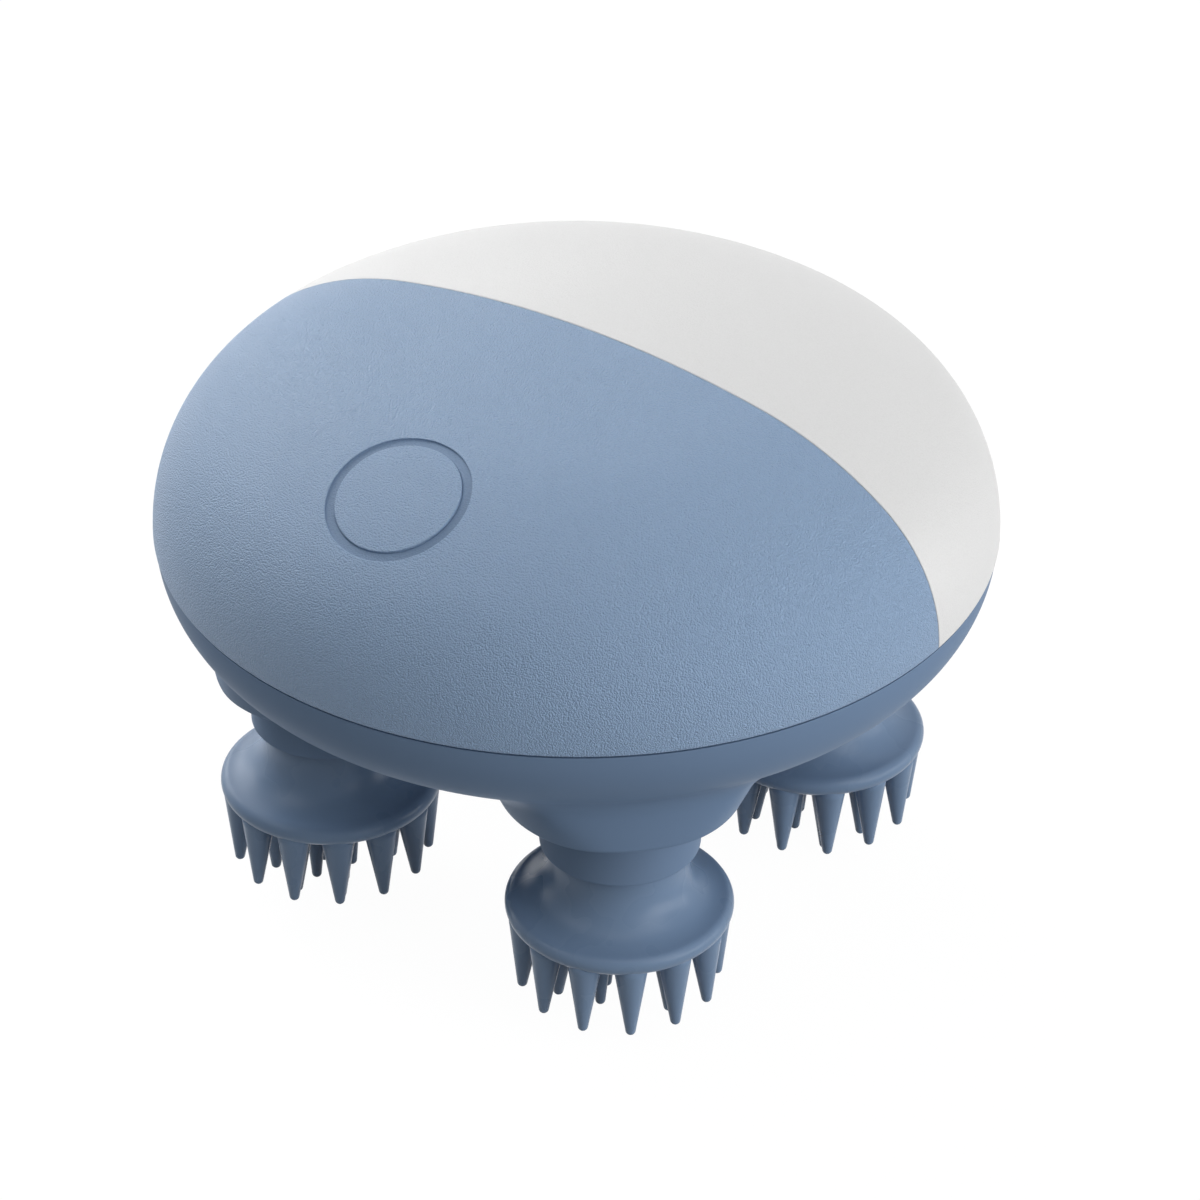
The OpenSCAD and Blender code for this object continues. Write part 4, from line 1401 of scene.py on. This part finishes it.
    def flank(self, turn: np.ndarray) -> list[np.ndarray]:
        """Rows up the boss's side and through its blend into the bowl.

        Side and bowl meet where height and radius, put into each other, no longer change. The
        blend is a parabola. As s goes from -1 to 1, a point lies (1 - s)^2 / 4 of the width
        down the side from that corner and (1 + s)^2 / 4 of it along the bowl, added as steps.

        Args:
            turn: Directions of the rows' points from the boss's axis.

        Returns:
            The rows.
        """
        size, row = self.size, partial(self.ring_row, turn)
        meet = np.full_like(turn, size.guess_z)
        for _ in range(size.passes):
            meet = self.height_at(turn, self.boss_radius(turn, meet))
        r_meet, step = self.boss_radius(turn, meet), 0.1
        slope = (r_meet - self.boss_radius(turn, meet - step)) / step
        stretch = np.sqrt(1.0 + slope**2)
        side = meet - size.boss_z - size.edge
        width = np.minimum(size.blend, size.flank_share * side * stretch)
        end = meet - width / stretch
        left = np.minimum(side - width / stretch, size.flank_row)
        first = size.boss_z + size.edge + left / 4.0
        rows = [row(self.boss_radius(turn, z), z)
                for z in (first + (end - first) * s for s in (0.0, 0.35, 0.7))]
        rise = (self.height_at(turn, r_meet + step) - self.height_at(turn, r_meet)) / step
        level = 1.0 / np.sqrt(1.0 + rise**2)
        corner = row(r_meet, meet)
        for s in np.linspace(-1.0, 1.0, 13):
            z = meet - width * (1.0 - s) ** 2 / 4.0 / stretch
            rho = r_meet + width * (1.0 + s) ** 2 / 4.0 * level
            on_bowl = row(rho, self.height_at(turn, rho))
            rows.append(row(self.boss_radius(turn, z), z) + on_bowl - corner)
        return rows

    def spread(
        self, start: np.ndarray, border: np.ndarray, depth: float, rows: int
    ) -> list[np.ndarray]:
        """Rows over the bowl, on straight lines in disc coordinates from a row to the border.

        Args:
            start: The row in space from which they go on.
            border: Disc coordinates of the border.
            depth: Distance below the bowl's outside.
            rows: Number of rows.

        Returns:
            The rows, the last of them on the border.
        """
        disc = self.outer.disc_of(start)
        shares = np.linspace(0.0, 1.0, rows)[1:]
        return [self.outer.point(disc * (1.0 - s) + border * s, depth) for s in shares]

    def quarter(self) -> Patch:
        """The outside of one quarter, with the bore's wall, and its inside.

        Returns:
            The patch, open along its border.
        """
        size, border = self.size, self.border()
        edge = self.outer.point(border)
        turn = np.arctan2(edge[:, 1] - size.head, edge[:, 0] - size.head)
        rows = self.underside(turn) + self.flank(turn)
        rows += self.spread(rows[-1], border, 0.0, size.bowl_rows)
        outside = Patch.grid(np.stack(rows), wrap_cols=True)
        back = Patch.grid(np.stack(self.hollow(turn, border)), wrap_cols=True).flipped()
        return Patch.joined([outside, back])

    def inner_height(self, r: np.ndarray) -> np.ndarray:
        """Height of the bowl's inside, read off its profile moved in by the wall.

        Args:
            r: Distance from the body's axis.

        Returns:
            Heights.
        """
        along = np.linspace(0.0, self.outer.total, self.size.samples)
        radii, heights = self.outer.section(along, np.full_like(along, self.size.wall))
        return np.interp(r, radii[::-1], heights[::-1])

    def hollow(self, turn: np.ndarray, border: np.ndarray) -> list[np.ndarray]:
        """Rows of the inside: over the bush's tower, along the boss's hollow, up to the border.

        The hollow's wall is the boss's radius less the wall, up to where it meets the bowl's
        inside, which is found by putting height and radius into each other.

        Args:
            turn: Directions of the rows' points from the boss's axis.
            border: Disc coordinates of the quarter's border.

        Returns:
            The rows.
        """
        size, row = self.size, partial(self.ring_row, turn)
        top = np.full_like(turn, size.guess_z)
        for _ in range(size.inner_passes):
            p = self.plan(turn, self.boss_radius(turn, top) - size.wall)
            top = self.inner_height(np.hypot(p[..., 0], p[..., 1]))
        low = size.boss_z + size.wall
        rows = [row(size.bore_r, size.tower_z), row(size.tower_r, size.tower_z),
                row(size.tower_r, low)]
        for s in np.linspace(0.0, 1.0, size.hollow_rows):
            z = low + (top - low) * s
            rows.append(row(self.boss_radius(turn, z) - size.wall, z))
        return rows + self.spread(rows[-1], border, size.wall, size.inner_rows)

    def rim(self) -> Patch:
        """The top edge, straight across from the outside to the inside.

        Returns:
            The patch.
        """
        turn = np.arange(4 * self.size.rim_steps) * np.pi / (2 * self.size.rim_steps)
        disc = np.stack([np.cos(turn), np.sin(turn)], -1)
        outer, inner = self.outer.point(disc), self.outer.point(disc, self.size.wall)
        rows = [outer * (1.0 - s) + inner * s for s in (0.0, 0.3, 1.0)]
        return Patch.grid(np.stack(rows), wrap_cols=True)

    def sleeve(self) -> Patch:
        """The wall around a screw's recess and the post above it.

        Its foot follows the bowl's outside: at each direction the height is the bowl's at that
        plan position. Above the recess's floor it is a plain turned tube.

        Returns:
            The patch for the first quarter.
        """
        size = self.size
        around, over = size.recess_r + size.sleeve_t, size.recess_z + size.sleeve_t
        turn = np.arange(size.round_steps) * 2.0 * np.pi / size.round_steps
        rows = []
        for rho, z in ((size.pilot_r, size.post_z), (size.pilot_r, size.recess_z),
                       (size.recess_r, size.recess_z), (size.recess_r, None),
                       (around, None), (around, over),
                       (size.post_r, over), (size.post_r, size.post_z)):
            x = size.screw[0] + rho * np.cos(turn)
            y = size.screw[1] + rho * np.sin(turn)
            foot = size.clear if rho == size.recess_r else size.tuck
            outside = self.bowl_height(np.hypot(x, y)) + foot
            rows.append(np.stack([x, y, outside if z is None else np.full_like(x, z)], -1))
        return Patch.grid(np.stack(rows), wrap_rows=True, wrap_cols=True).outward()

    def recess(self) -> Patch:
        """The cylinder that opens the bowl for the first quarter's screw.

        It is wider than the recess by one and a half clearances, so it leaves the sleeve clear.

        Returns:
            The patch, from below the bowl to above the recess's floor.
        """
        size = self.size
        r = size.recess_r + 1.5 * size.clear
        low, top = self.bowl_z - size.cut_below, size.recess_z + size.cut_above
        profile = np.array([[0.0, low], [r, low], [r, top], [0.0, top]])
        return spin(profile, size.round_steps, size.screw).outward()

    @staticmethod
    def mirrored(patch: Patch) -> list[Patch]:
        """The patch in each of the four quarters."""
        mirrors = [np.diag([sx, sy, 1.0]) for sx, sy in HEAD_PLACES.values()]
        return [patch.moved(mirror, np.zeros(3)) for mirror in mirrors]

    @staticmethod
    def opened(obj: bpy.types.Object, cuts: Patch) -> bpy.types.Object:
        """Cuts solids out of an object with an exact boolean.

        Args:
            obj: The object.
            cuts: What is taken away.

        Returns:
            The object, its mesh replaced.
        """
        cutter = cuts.write("cutter")
        modifier = obj.modifiers.new("recesses", "BOOLEAN")
        modifier.operation, modifier.solver, modifier.object = "DIFFERENCE", "EXACT", cutter
        graph = bpy.context.evaluated_depsgraph_get()
        mesh = bpy.data.meshes.new_from_object(obj.evaluated_get(graph))
        obj.modifiers.clear()
        obj.data = mesh
        bpy.data.objects.remove(cutter)
        return obj

    def build(self) -> bpy.types.Object:
        """Mirrors the quarter, cuts the recesses and adds their sleeves.

        Returns:
            The object.
        """
        skin = self.mirrored(self.quarter()) + [self.rim()]
        obj = Patch.joined(skin).outward().write("lower_casing_skin")
        obj = self.opened(obj, Patch.joined(self.mirrored(self.recess())))
        obj = merged(obj, Patch.joined(self.mirrored(self.sleeve())).write("sleeves"))
        obj.data.set_sharp_from_angle(angle=math.radians(self.size.sharp))
        return obj


# ---- Heads and hubs --------------------------------------------------------------


@dataclass(frozen=True)
class HeadSize:
    """Sizes of a massage head.

    Attributes:
        rim_c: Radius of the rim circle's centre.
        rim_r: Radius of the rim circle.
        disc_z: Height of the rim circle's centre.
        neck_r: Radius of the neck.
        flare_r: Radius of the hollow flare.
        under: Swell of the underside.
        top_z: Height of the neck's top.
        tip_r: Radius of a tooth's tip.
        lean: Outward lean of the outer teeth in degrees.
        rooted: Depth of a tooth's top below the rim circle's centre.
        neck_edge: Chamfer at the neck's top.
        under_steps: Points along the underside.
        rim_steps: Points around the rim circle.
        flare_steps: Points along the flare.
        smoothing: Times that the ridge between rim and flare is averaged.
        ball_steps: Points around a tooth's tip.
        cone_steps: Points along a tooth.
        columns: Steps around the disc.
        tooth_columns: Steps around a tooth.
    """

    rim_c: float = 12.9
    rim_r: float = 1.3
    disc_z: float = 15.3
    neck_r: float = 8.3
    flare_r: float = 5.8
    under: float = 3.2
    top_z: float = 24.7
    tip_r: float = 0.65
    lean: float = 3.0
    rooted: float = 0.2
    neck_edge: float = 0.2
    under_steps: int = 18
    rim_steps: int = 25
    flare_steps: int = 30
    smoothing: int = 3
    ball_steps: int = 8
    cone_steps: int = 6
    columns: int = 96
    tooth_columns: int = 26


@dataclass(frozen=True)
class ToothRing:
    """A ring of equal teeth.

    Attributes:
        count: Number of teeth.
        radius: Radius of the ring of tips.
        tip_z: Height of the tips.
        phase: Direction of the first tooth in degrees.
        draft: Draft angle in degrees.
    """

    count: int
    radius: float
    tip_z: float
    phase: float
    draft: float


TOOTH_RINGS = (
    ToothRing(13, 12.3, 3.9, 90.0, 9.0),
    ToothRing(8, 7.6, 1.35, 0.0, 9.0),
    ToothRing(4, 2.65, -0.05, 67.5, 5.0),
)


class MassageHead:
    """A flared disc with three rings of teeth."""

    def __init__(self, size: HeadSize, place: tuple[float, float]) -> None:
        """Keeps the sizes and the plan position of the head's axis."""
        self.size, self.place = size, place

    def disc(self) -> Patch:
        """The turned body: a swollen underside, a round rim, a hollow flare and the neck.

        The underside is an arc through the rim's lower point, whose radius follows from the
        swell. The flare's arc is tangent to the neck and starts on top of the rim.

        Returns:
            The patch, closed.
        """
        s = self.size
        low = s.disc_z - s.rim_r
        under_r = (s.rim_c**2 + s.under**2) / (2.0 * s.under)
        a = np.linspace(0.0, math.asin(s.rim_c / under_r), s.under_steps)
        under = np.stack([under_r * np.sin(a), low - s.under + under_r * (1.0 - np.cos(a))], -1)
        flare_c = s.neck_r + s.flare_r
        flare_z = s.disc_z + s.rim_r + math.sqrt(s.flare_r**2 - (flare_c - s.rim_c) ** 2)
        b = np.radians(np.linspace(-90.0, 90.0, s.rim_steps))
        rim = np.stack([s.rim_c + s.rim_r * np.cos(b), s.disc_z + s.rim_r * np.sin(b)], -1)
        end = math.atan2(s.disc_z + s.rim_r - flare_z, s.rim_c - flare_c)
        c = np.linspace(end % (2.0 * math.pi), math.pi, s.flare_steps)
        flare = np.stack([flare_c + s.flare_r * np.cos(c), flare_z + s.flare_r * np.sin(c)], -1)
        soft = self.soften(np.concatenate([rim, flare[1:]]))
        neck = np.array([[s.neck_r, s.top_z - s.neck_edge], [s.neck_r - s.neck_edge, s.top_z],
                         [0.0, s.top_z]])
        return spin(np.concatenate([under[:-1], soft, neck]), s.columns, self.place)

    def soften(self, line: np.ndarray) -> np.ndarray:
        """Rounds the ridge between rim and flare by averaging neighbours a few times.

        Each point becomes half of itself plus a quarter of the points before and after it.

        Args:
            line: Array (n, 2).

        Returns:
            The smoothed line, its ends kept.
        """
        out = line.copy()
        for _ in range(self.size.smoothing):
            out[1:-1] = 0.25 * out[:-2] + 0.5 * out[1:-1] + 0.25 * out[2:]
        return out

    def tooth(self, ring: ToothRing) -> Patch:
        """One tooth pointing down, tip at the origin: a ball that runs into a cone.

        Args:
            ring: The ring that it belongs to.

        Returns:
            The patch.
        """
        s = self.size
        draft = math.radians(ring.draft)
        length = s.disc_z - s.rooted - ring.tip_z - s.tip_r
        a = np.linspace(-math.pi / 2, -draft, s.ball_steps)
        ball = np.stack([s.tip_r * np.cos(a), s.tip_r + s.tip_r * np.sin(a)], -1)
        h = np.linspace(0.0, length, s.cone_steps + 1)[1:]
        cone = np.stack([s.tip_r / math.cos(draft) + h * math.tan(draft), s.tip_r + h], -1)
        top = np.array([[0.0, s.tip_r + length]])
        return spin(np.concatenate([ball, cone, top]), s.tooth_columns)

    def ring(self, ring: ToothRing) -> list[Patch]:
        """The teeth of a ring, each leaning out about its tip and turned to its place.

        Args:
            ring: The ring.

        Returns:
            One patch per tooth.
        """
        s, teeth = self.size, []
        lean = math.radians(-s.lean * ring.radius / TOOTH_RINGS[0].radius)
        pivot = np.array([0.0, 0.0, s.tip_r])
        tilt = np.array([[math.cos(lean), 0.0, math.sin(lean)], [0.0, 1.0, 0.0],
                         [-math.sin(lean), 0.0, math.cos(lean)]])
        tooth = self.tooth(ring).moved(np.eye(3), -pivot).moved(tilt, pivot)
        for i in range(ring.count):
            t = math.radians(ring.phase + 360.0 / ring.count * i)
            turn = np.array([[math.cos(t), -math.sin(t), 0.0],
                             [math.sin(t), math.cos(t), 0.0], [0.0, 0.0, 1.0]])
            shift = turn @ np.array([ring.radius, 0.0, ring.tip_z])
            teeth.append(tooth.moved(turn, shift + np.array([*self.place, 0.0])))
        return teeth

    def build(self, name: str) -> bpy.types.Object:
        """Puts disc and teeth together, with nothing below the floor.

        Args:
            name: Object name.

        Returns:
            The object.
        """
        patches = [self.disc()] + [tooth for ring in TOOTH_RINGS for tooth in self.ring(ring)]
        whole = Patch.joined([p.outward() for p in patches])
        whole.verts[:, 2] = np.maximum(whole.verts[:, 2], 0.0)
        return whole.write(name)


@dataclass(frozen=True)
class HubSize:
    """Sizes of a head's hub.

    Attributes:
        low_z: Height of the underside.
        top_z: Height of the top.
        low_r: Radius at the underside.
        top_r: Radius at the top.
        shaft_r: Radius of the shaft.
        journal_r: Radius of the journal at its end.
        journal_z: Height at which the journal begins.
        shaft_top: Height of the journal's top.
        hex_r: Across-corners radius of the driving hexagon.
        hex_h: Its length below the underside.
        hex_root: Its length above the underside, inside the collar.
        low_edge: Rounding of the collar's lower edge.
        top_edge: Rounding of its upper edge and of the journal's top.
        step_edge: Rounding of the steps on the shaft.
        hex_edge: Rounding of the hexagon's ends.
        columns: Steps around the collar.
    """

    low_z: float = 24.7
    top_z: float = 32.7
    low_r: float = 9.9
    top_r: float = 10.1
    shaft_r: float = 3.0
    journal_r: float = 2.0
    journal_z: float = 42.2
    shaft_top: float = 45.2
    hex_r: float = 4.6
    hex_h: float = 5.0
    hex_root: float = 1.0
    low_edge: float = 0.35
    top_edge: float = 0.3
    step_edge: float = 0.1
    hex_edge: float = 0.2
    columns: int = 96


class Hub:
    """A collar with its shaft and the hexagon that drives the head."""

    def __init__(self, size: HubSize, place: tuple[float, float]) -> None:
        """Keeps the sizes and the plan position of the axis."""
        self.size, self.place = size, place

    def build(self, name: str) -> bpy.types.Object:
        """Turns the collar with its shaft, and adds the hexagon as a turning of six columns.

        Args:
            name: Object name.

        Returns:
            The object.
        """
        s = self.size
        profile = fillet_profile([
            (0.0, s.low_z, 0.0), (s.low_r, s.low_z, s.low_edge), (s.top_r, s.top_z, s.top_edge),
            (s.shaft_r, s.top_z, s.step_edge), (s.shaft_r, s.journal_z, s.step_edge),
            (s.journal_r, s.journal_z, s.step_edge), (s.journal_r, s.shaft_top, s.top_edge),
            (0.0, s.shaft_top, 0.0)])
        collar = spin(profile, s.columns, self.place).outward()
        low, root = s.low_z - s.hex_h, s.low_z + s.hex_root
        stub = fillet_profile([(0.0, low, 0.0), (s.hex_r, low, s.hex_edge),
                               (s.hex_r, root, s.hex_edge), (0.0, root, 0.0)])
        return Patch.joined([collar, spin(stub, 6, self.place).outward()]).write(name)


# ---- Studio ------------------------------------------------------------------------


@dataclass(frozen=True)
class Softbox:
    """An area light on a sphere around the massager, which it faces.

    Attributes:
        name: Object name.
        turn: Direction in degrees, 0 at the camera's right hand and 90 behind the massager.
        rise: Height angle in degrees.
        power: Power in watts.
        aim: Centre of the sphere, in metres.
        reach: Radius of the sphere in metres.
        width: The light's width in metres.
        height: The light's height in metres.
    """

    name: str
    turn: float
    rise: float
    power: float
    aim: tuple[float, float, float] = (0.0, 0.0, 0.05)
    reach: float = 1.25
    width: float = 0.7
    height: float = 0.55

    def build(self, heading: float) -> bpy.types.Object:
        """Makes the light and turns it to its aim.

        Its place is the aim plus the reach along the direction that turn and rise give.

        Args:
            heading: Direction of the camera's right hand in degrees, from +X.

        Returns:
            The light object.
        """
        data = bpy.data.lights.new(self.name, "AREA")
        data.shape = "RECTANGLE"
        data.size, data.size_y = self.width, self.height
        data.energy = self.power
        obj = bpy.data.objects.new(self.name, data)
        a, e = math.radians(heading + self.turn), math.radians(self.rise)
        away = Vector((math.cos(a) * math.cos(e), math.sin(a) * math.cos(e), math.sin(e)))
        obj.location = Vector(self.aim) + self.reach * away
        obj.rotation_euler = away.to_track_quat("Z", "Y").to_euler()
        bpy.context.scene.collection.objects.link(obj)
        return obj


@dataclass(frozen=True)
class CameraSize:
    """Camera place and lens.

    Attributes:
        place: Position in metres.
        azimuth: Heading of the camera's place around +Z, from -Y, in degrees.
        elevation: Height angle in degrees.
        lens: Focal length in millimetres.
        sensor: Width of the sensor in millimetres.
        shift_x: Sideways lens shift.
        near: Nearest distance that is seen, in metres.
        far: Farthest distance that is seen, in metres.
    """

    place: tuple[float, float, float] = (0.25625, -0.36626, 0.33700)
    azimuth: float = 35.454
    elevation: float = 33.713
    lens: float = 127.345
    sensor: float = 36.0
    shift_x: float = 0.04456
    near: float = 0.01
    far: float = 20.0


class Studio:
    """World, floor, lights and camera.

    Attributes:
        fill: Strength of the world as a light.
        floor_white: Strength of the floor's own white where it is seen.
        floor_veil: Share of the light on the floor that is added to it, which shows shadow.
        floor_half: Half of the floor's width in metres.
        boxes: The lights.
    """

    fill: ClassVar[float] = 0.004
    floor_white: ClassVar[float] = 0.975
    floor_veil: ClassVar[float] = 0.05
    floor_half: ClassVar[float] = 2.0
    boxes: ClassVar[tuple[Softbox, ...]] = (
        Softbox("low_right", 0.0, 6.0, 3.45),
        Softbox("low_back_left", 120.0, 6.0, 1.05),
        Softbox("low_left", 150.0, 6.0, 1.35),
        Softbox("low_front_right", 330.0, 6.0, 5.15),
        Softbox("mid_back", 105.0, 24.0, 2.10),
        Softbox("mid_left", 135.0, 24.0, 5.40),
        Softbox("mid_front", 315.0, 24.0, 2.90),
        Softbox("high_back", 120.0, 45.0, 3.30),
        Softbox("high_left", 160.0, 45.0, 0.85),
        Softbox("high_front", 200.0, 45.0, 2.05),
        Softbox("high_right", 320.0, 45.0, 2.55),
        Softbox("top_back", 30.0, 66.0, 1.35),
        Softbox("top_front", 270.0, 66.0, 1.65),
    )

    @staticmethod
    def seen(tree: bpy.types.NodeTree) -> Socket:
        """Adds the mask of rays that show the white background.

        Args:
            tree: The world's or floor's node tree.

        Returns:
            1 for camera, glossy and transmission rays, otherwise 0.
        """
        path = tree.nodes.new("ShaderNodeLightPath")
        mirror = maths(tree, "MAXIMUM", path.outputs["Is Glossy Ray"],
                       path.outputs["Is Transmission Ray"])
        return maths(tree, "MAXIMUM", path.outputs["Is Camera Ray"], mirror)

    def world(self) -> None:
        """White to the camera and in mirrors, and a weak even fill as light."""
        world = bpy.data.worlds.new("studio_world")
        bpy.context.scene.world = world
        world.use_nodes = True
        tree = world.node_tree
        tree.nodes.clear()
        out = tree.nodes.new("ShaderNodeOutputWorld")
        mix = tree.nodes.new("ShaderNodeMixShader")
        soft = tree.nodes.new("ShaderNodeBackground")
        soft.inputs["Strength"].default_value = self.fill
        white = tree.nodes.new("ShaderNodeBackground")
        white.inputs["Color"].default_value = (1.0, 1.0, 1.0, 1.0)
        tree.links.new(self.seen(tree), mix.inputs["Fac"])
        tree.links.new(soft.outputs[0], mix.inputs[1])
        tree.links.new(white.outputs[0], mix.inputs[2])
        tree.links.new(mix.outputs[0], out.inputs["Surface"])

    def floor(self) -> None:
        """A pale floor: white to the camera and in mirrors, less a faint veil of shadow."""
        half = self.floor_half
        corners = [(-half, -half, 0.0), (half, -half, 0.0), (half, half, 0.0), (-half, half, 0.0)]
        mesh = bpy.data.meshes.new("studio_floor")
        mesh.from_pydata(corners, [], [(0, 1, 2, 3)])
        obj = bpy.data.objects.new("studio_floor", mesh)
        bpy.context.scene.collection.objects.link(obj)
        mat = bpy.data.materials.new("floor_pale")
        mat.use_nodes = True
        mesh.materials.append(mat)
        tree = mat.node_tree
        tree.nodes.clear()
        out = tree.nodes.new("ShaderNodeOutputMaterial")
        mix = tree.nodes.new("ShaderNodeMixShader")
        matte, veil = (tree.nodes.new("ShaderNodeBsdfDiffuse") for _ in range(2))
        matte.inputs["Color"].default_value = (*FLOOR, 1.0)
        veil.inputs["Color"].default_value = (*[self.floor_veil] * 3, 1.0)
        white = tree.nodes.new("ShaderNodeEmission")
        white.inputs["Strength"].default_value = self.floor_white
        both = tree.nodes.new("ShaderNodeAddShader")
        tree.links.new(white.outputs[0], both.inputs[0])
        tree.links.new(veil.outputs[0], both.inputs[1])
        tree.links.new(self.seen(tree), mix.inputs["Fac"])
        tree.links.new(matte.outputs[0], mix.inputs[1])
        tree.links.new(both.outputs[0], mix.inputs[2])
        tree.links.new(mix.outputs[0], out.inputs["Surface"])

    def camera(self, size: CameraSize) -> None:
        """Places the camera and makes it the scene's.

        Args:
            size: The camera's place and lens.
        """
        data = bpy.data.cameras.new("product_camera")
        data.sensor_width = size.sensor
        data.lens = size.lens
        data.shift_x = size.shift_x
        data.clip_start, data.clip_end = size.near, size.far
        obj = bpy.data.objects.new("product_camera", data)
        a, e = math.radians(size.azimuth), math.radians(size.elevation)
        back = Vector((math.sin(a) * math.cos(e), -math.cos(a) * math.cos(e), math.sin(e)))
        obj.location = size.place
        obj.rotation_euler = back.to_track_quat("Z", "Y").to_euler()
        bpy.context.scene.collection.objects.link(obj)
        bpy.context.scene.camera = obj

    def build(self) -> None:
        """Sets up view transform, world, floor, lights and camera."""
        bpy.context.scene.view_settings.view_transform = "Standard"
        self.world()
        self.floor()
        camera = CameraSize()
        for box in self.boxes:
            box.build(camera.azimuth)
        self.camera(camera)
        LOG.info("studio: %d lights", len(self.boxes))


# ---- Putting it together -----------------------------------------------------------


class Massager:
    """The whole object: its own skins, and finishes for the CAD nodes that stay.

    Attributes:
        finishes: Starts of node names, each with the finish of those nodes.
    """

    finishes: ClassVar[tuple[tuple[str, Finish], ...]] = (
        ("upper_shell", SHELL), ("button_board", BOARD), ("tact_switch", SWITCH),
        ("seam_seal", SEAL), ("output_gear", NYLON), ("shaft_bush", BRONZE),
        ("shaft_seal", SEAL), ("centre_wheel", NYLON), ("centre_axle", STEEL),
        ("idler_gear", NYLON), ("idler_axle", STEEL), ("motor_pinion", BRASS),
        ("motor_can", STEEL), ("gear_plate", PLATE), ("motor_plate", PLATE),
        ("gearbox_screws", STEEL), ("motor_screws", STEEL), ("casing_screws", STEEL),
        ("battery_tray", PLATE), ("battery", CELL), ("circuit_board", BOARD),
        ("board_screws", STEEL), ("charge_contacts", BRASS),
    )

    def __init__(self, nodes: dict[str, bpy.types.Object]) -> None:
        """Makes the shared node groups.

        Args:
            nodes: The CAD objects by name.
        """
        self.nodes = nodes
        self.groups = Groups()
        self.made: dict[str, bpy.types.Material] = {}

    def material(self, finish: Finish) -> bpy.types.Material:
        """The material of a finish, made once.

        Args:
            finish: The finish.

        Returns:
            The material.
        """
        if finish.name not in self.made:
            self.made[finish.name] = finish.build(self.groups)
        return self.made[finish.name]

    def stand_in(
        self, obj: bpy.types.Object, node: str, body: str, finish: Finish
    ) -> None:
        """Puts a new piece in a CAD node's place.

        Args:
            obj: The new piece.
            node: The CAD node.
            body: The CAD body that it rides on.
            finish: Its finish.
        """
        obj.data.materials.clear()
        obj.data.materials.append(self.material(finish))
        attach(obj, body)
        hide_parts(node)
        LOG.info("%s stands in for %s: %d faces", obj.name, node, len(obj.data.polygons))

    def covers(self) -> None:
        """Builds both covers and the button."""
        dome = DomeSize().meridian()
        button = ButtonSize()
        place = ButtonFrame(dome, button)
        front = FrontCover(dome, -1.0, CoverSize()).build(place)
        self.stand_in(front, "front_cover", "main_body", SKIN_BLUE)
        # The second slot paints shade into the button's groove.
        front.data.materials.append(self.material(GROOVE_PAINTED_SHADE))
        place.mark_groove_shade(front)
        rear = RearCover(dome, 1.0, CoverSize()).build()
        self.stand_in(rear, "rear_cover", "main_body", SKIN_WHITE)
        cap = ButtonCap(place).build()
        self.stand_in(cap, "button_cap", "button", SKIN_BLUE)

    def casing(self) -> None:
        """Builds the lower casing."""
        obj = Casing(CasingSize()).build()
        self.stand_in(obj, "lower_casing", "main_body", CASING)

    def heads(self) -> None:
        """Builds the four heads and hubs."""
        reach = CasingSize().head
        for key, (sx, sy) in HEAD_PLACES.items():
            place = (sx * reach, sy * reach)
            head = MassageHead(HeadSize(), place).build(f"massage_head_{key}_skin")
            self.stand_in(head, f"massage_head_{key}", f"head_{key}", SILICONE)
            hub = Hub(HubSize(), place).build(f"head_hub_{key}_skin")
            self.stand_in(hub, f"head_hub_{key}", f"head_{key}", COLLAR)

    def inner(self) -> None:
        """Gives the CAD nodes that stay their finishes."""
        for name, obj in self.nodes.items():
            for start, finish in self.finishes:
                if name.startswith(start):
                    obj.data.materials.clear()
                    obj.data.materials.append(self.material(finish))
                    LOG.info("%s has %s", name, finish.name)
                    break

    def build(self) -> None:
        """Builds everything in order."""
        self.covers()
        self.casing()
        self.heads()
        self.inner()


def main() -> None:
    """Builds the looks around the frame."""
    logging.basicConfig(level=logging.INFO, format="%(name)s: %(message)s")
    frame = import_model()
    Massager(frame["nodes"]).build()
    Studio().build()


if __name__ == "__main__":
    main()
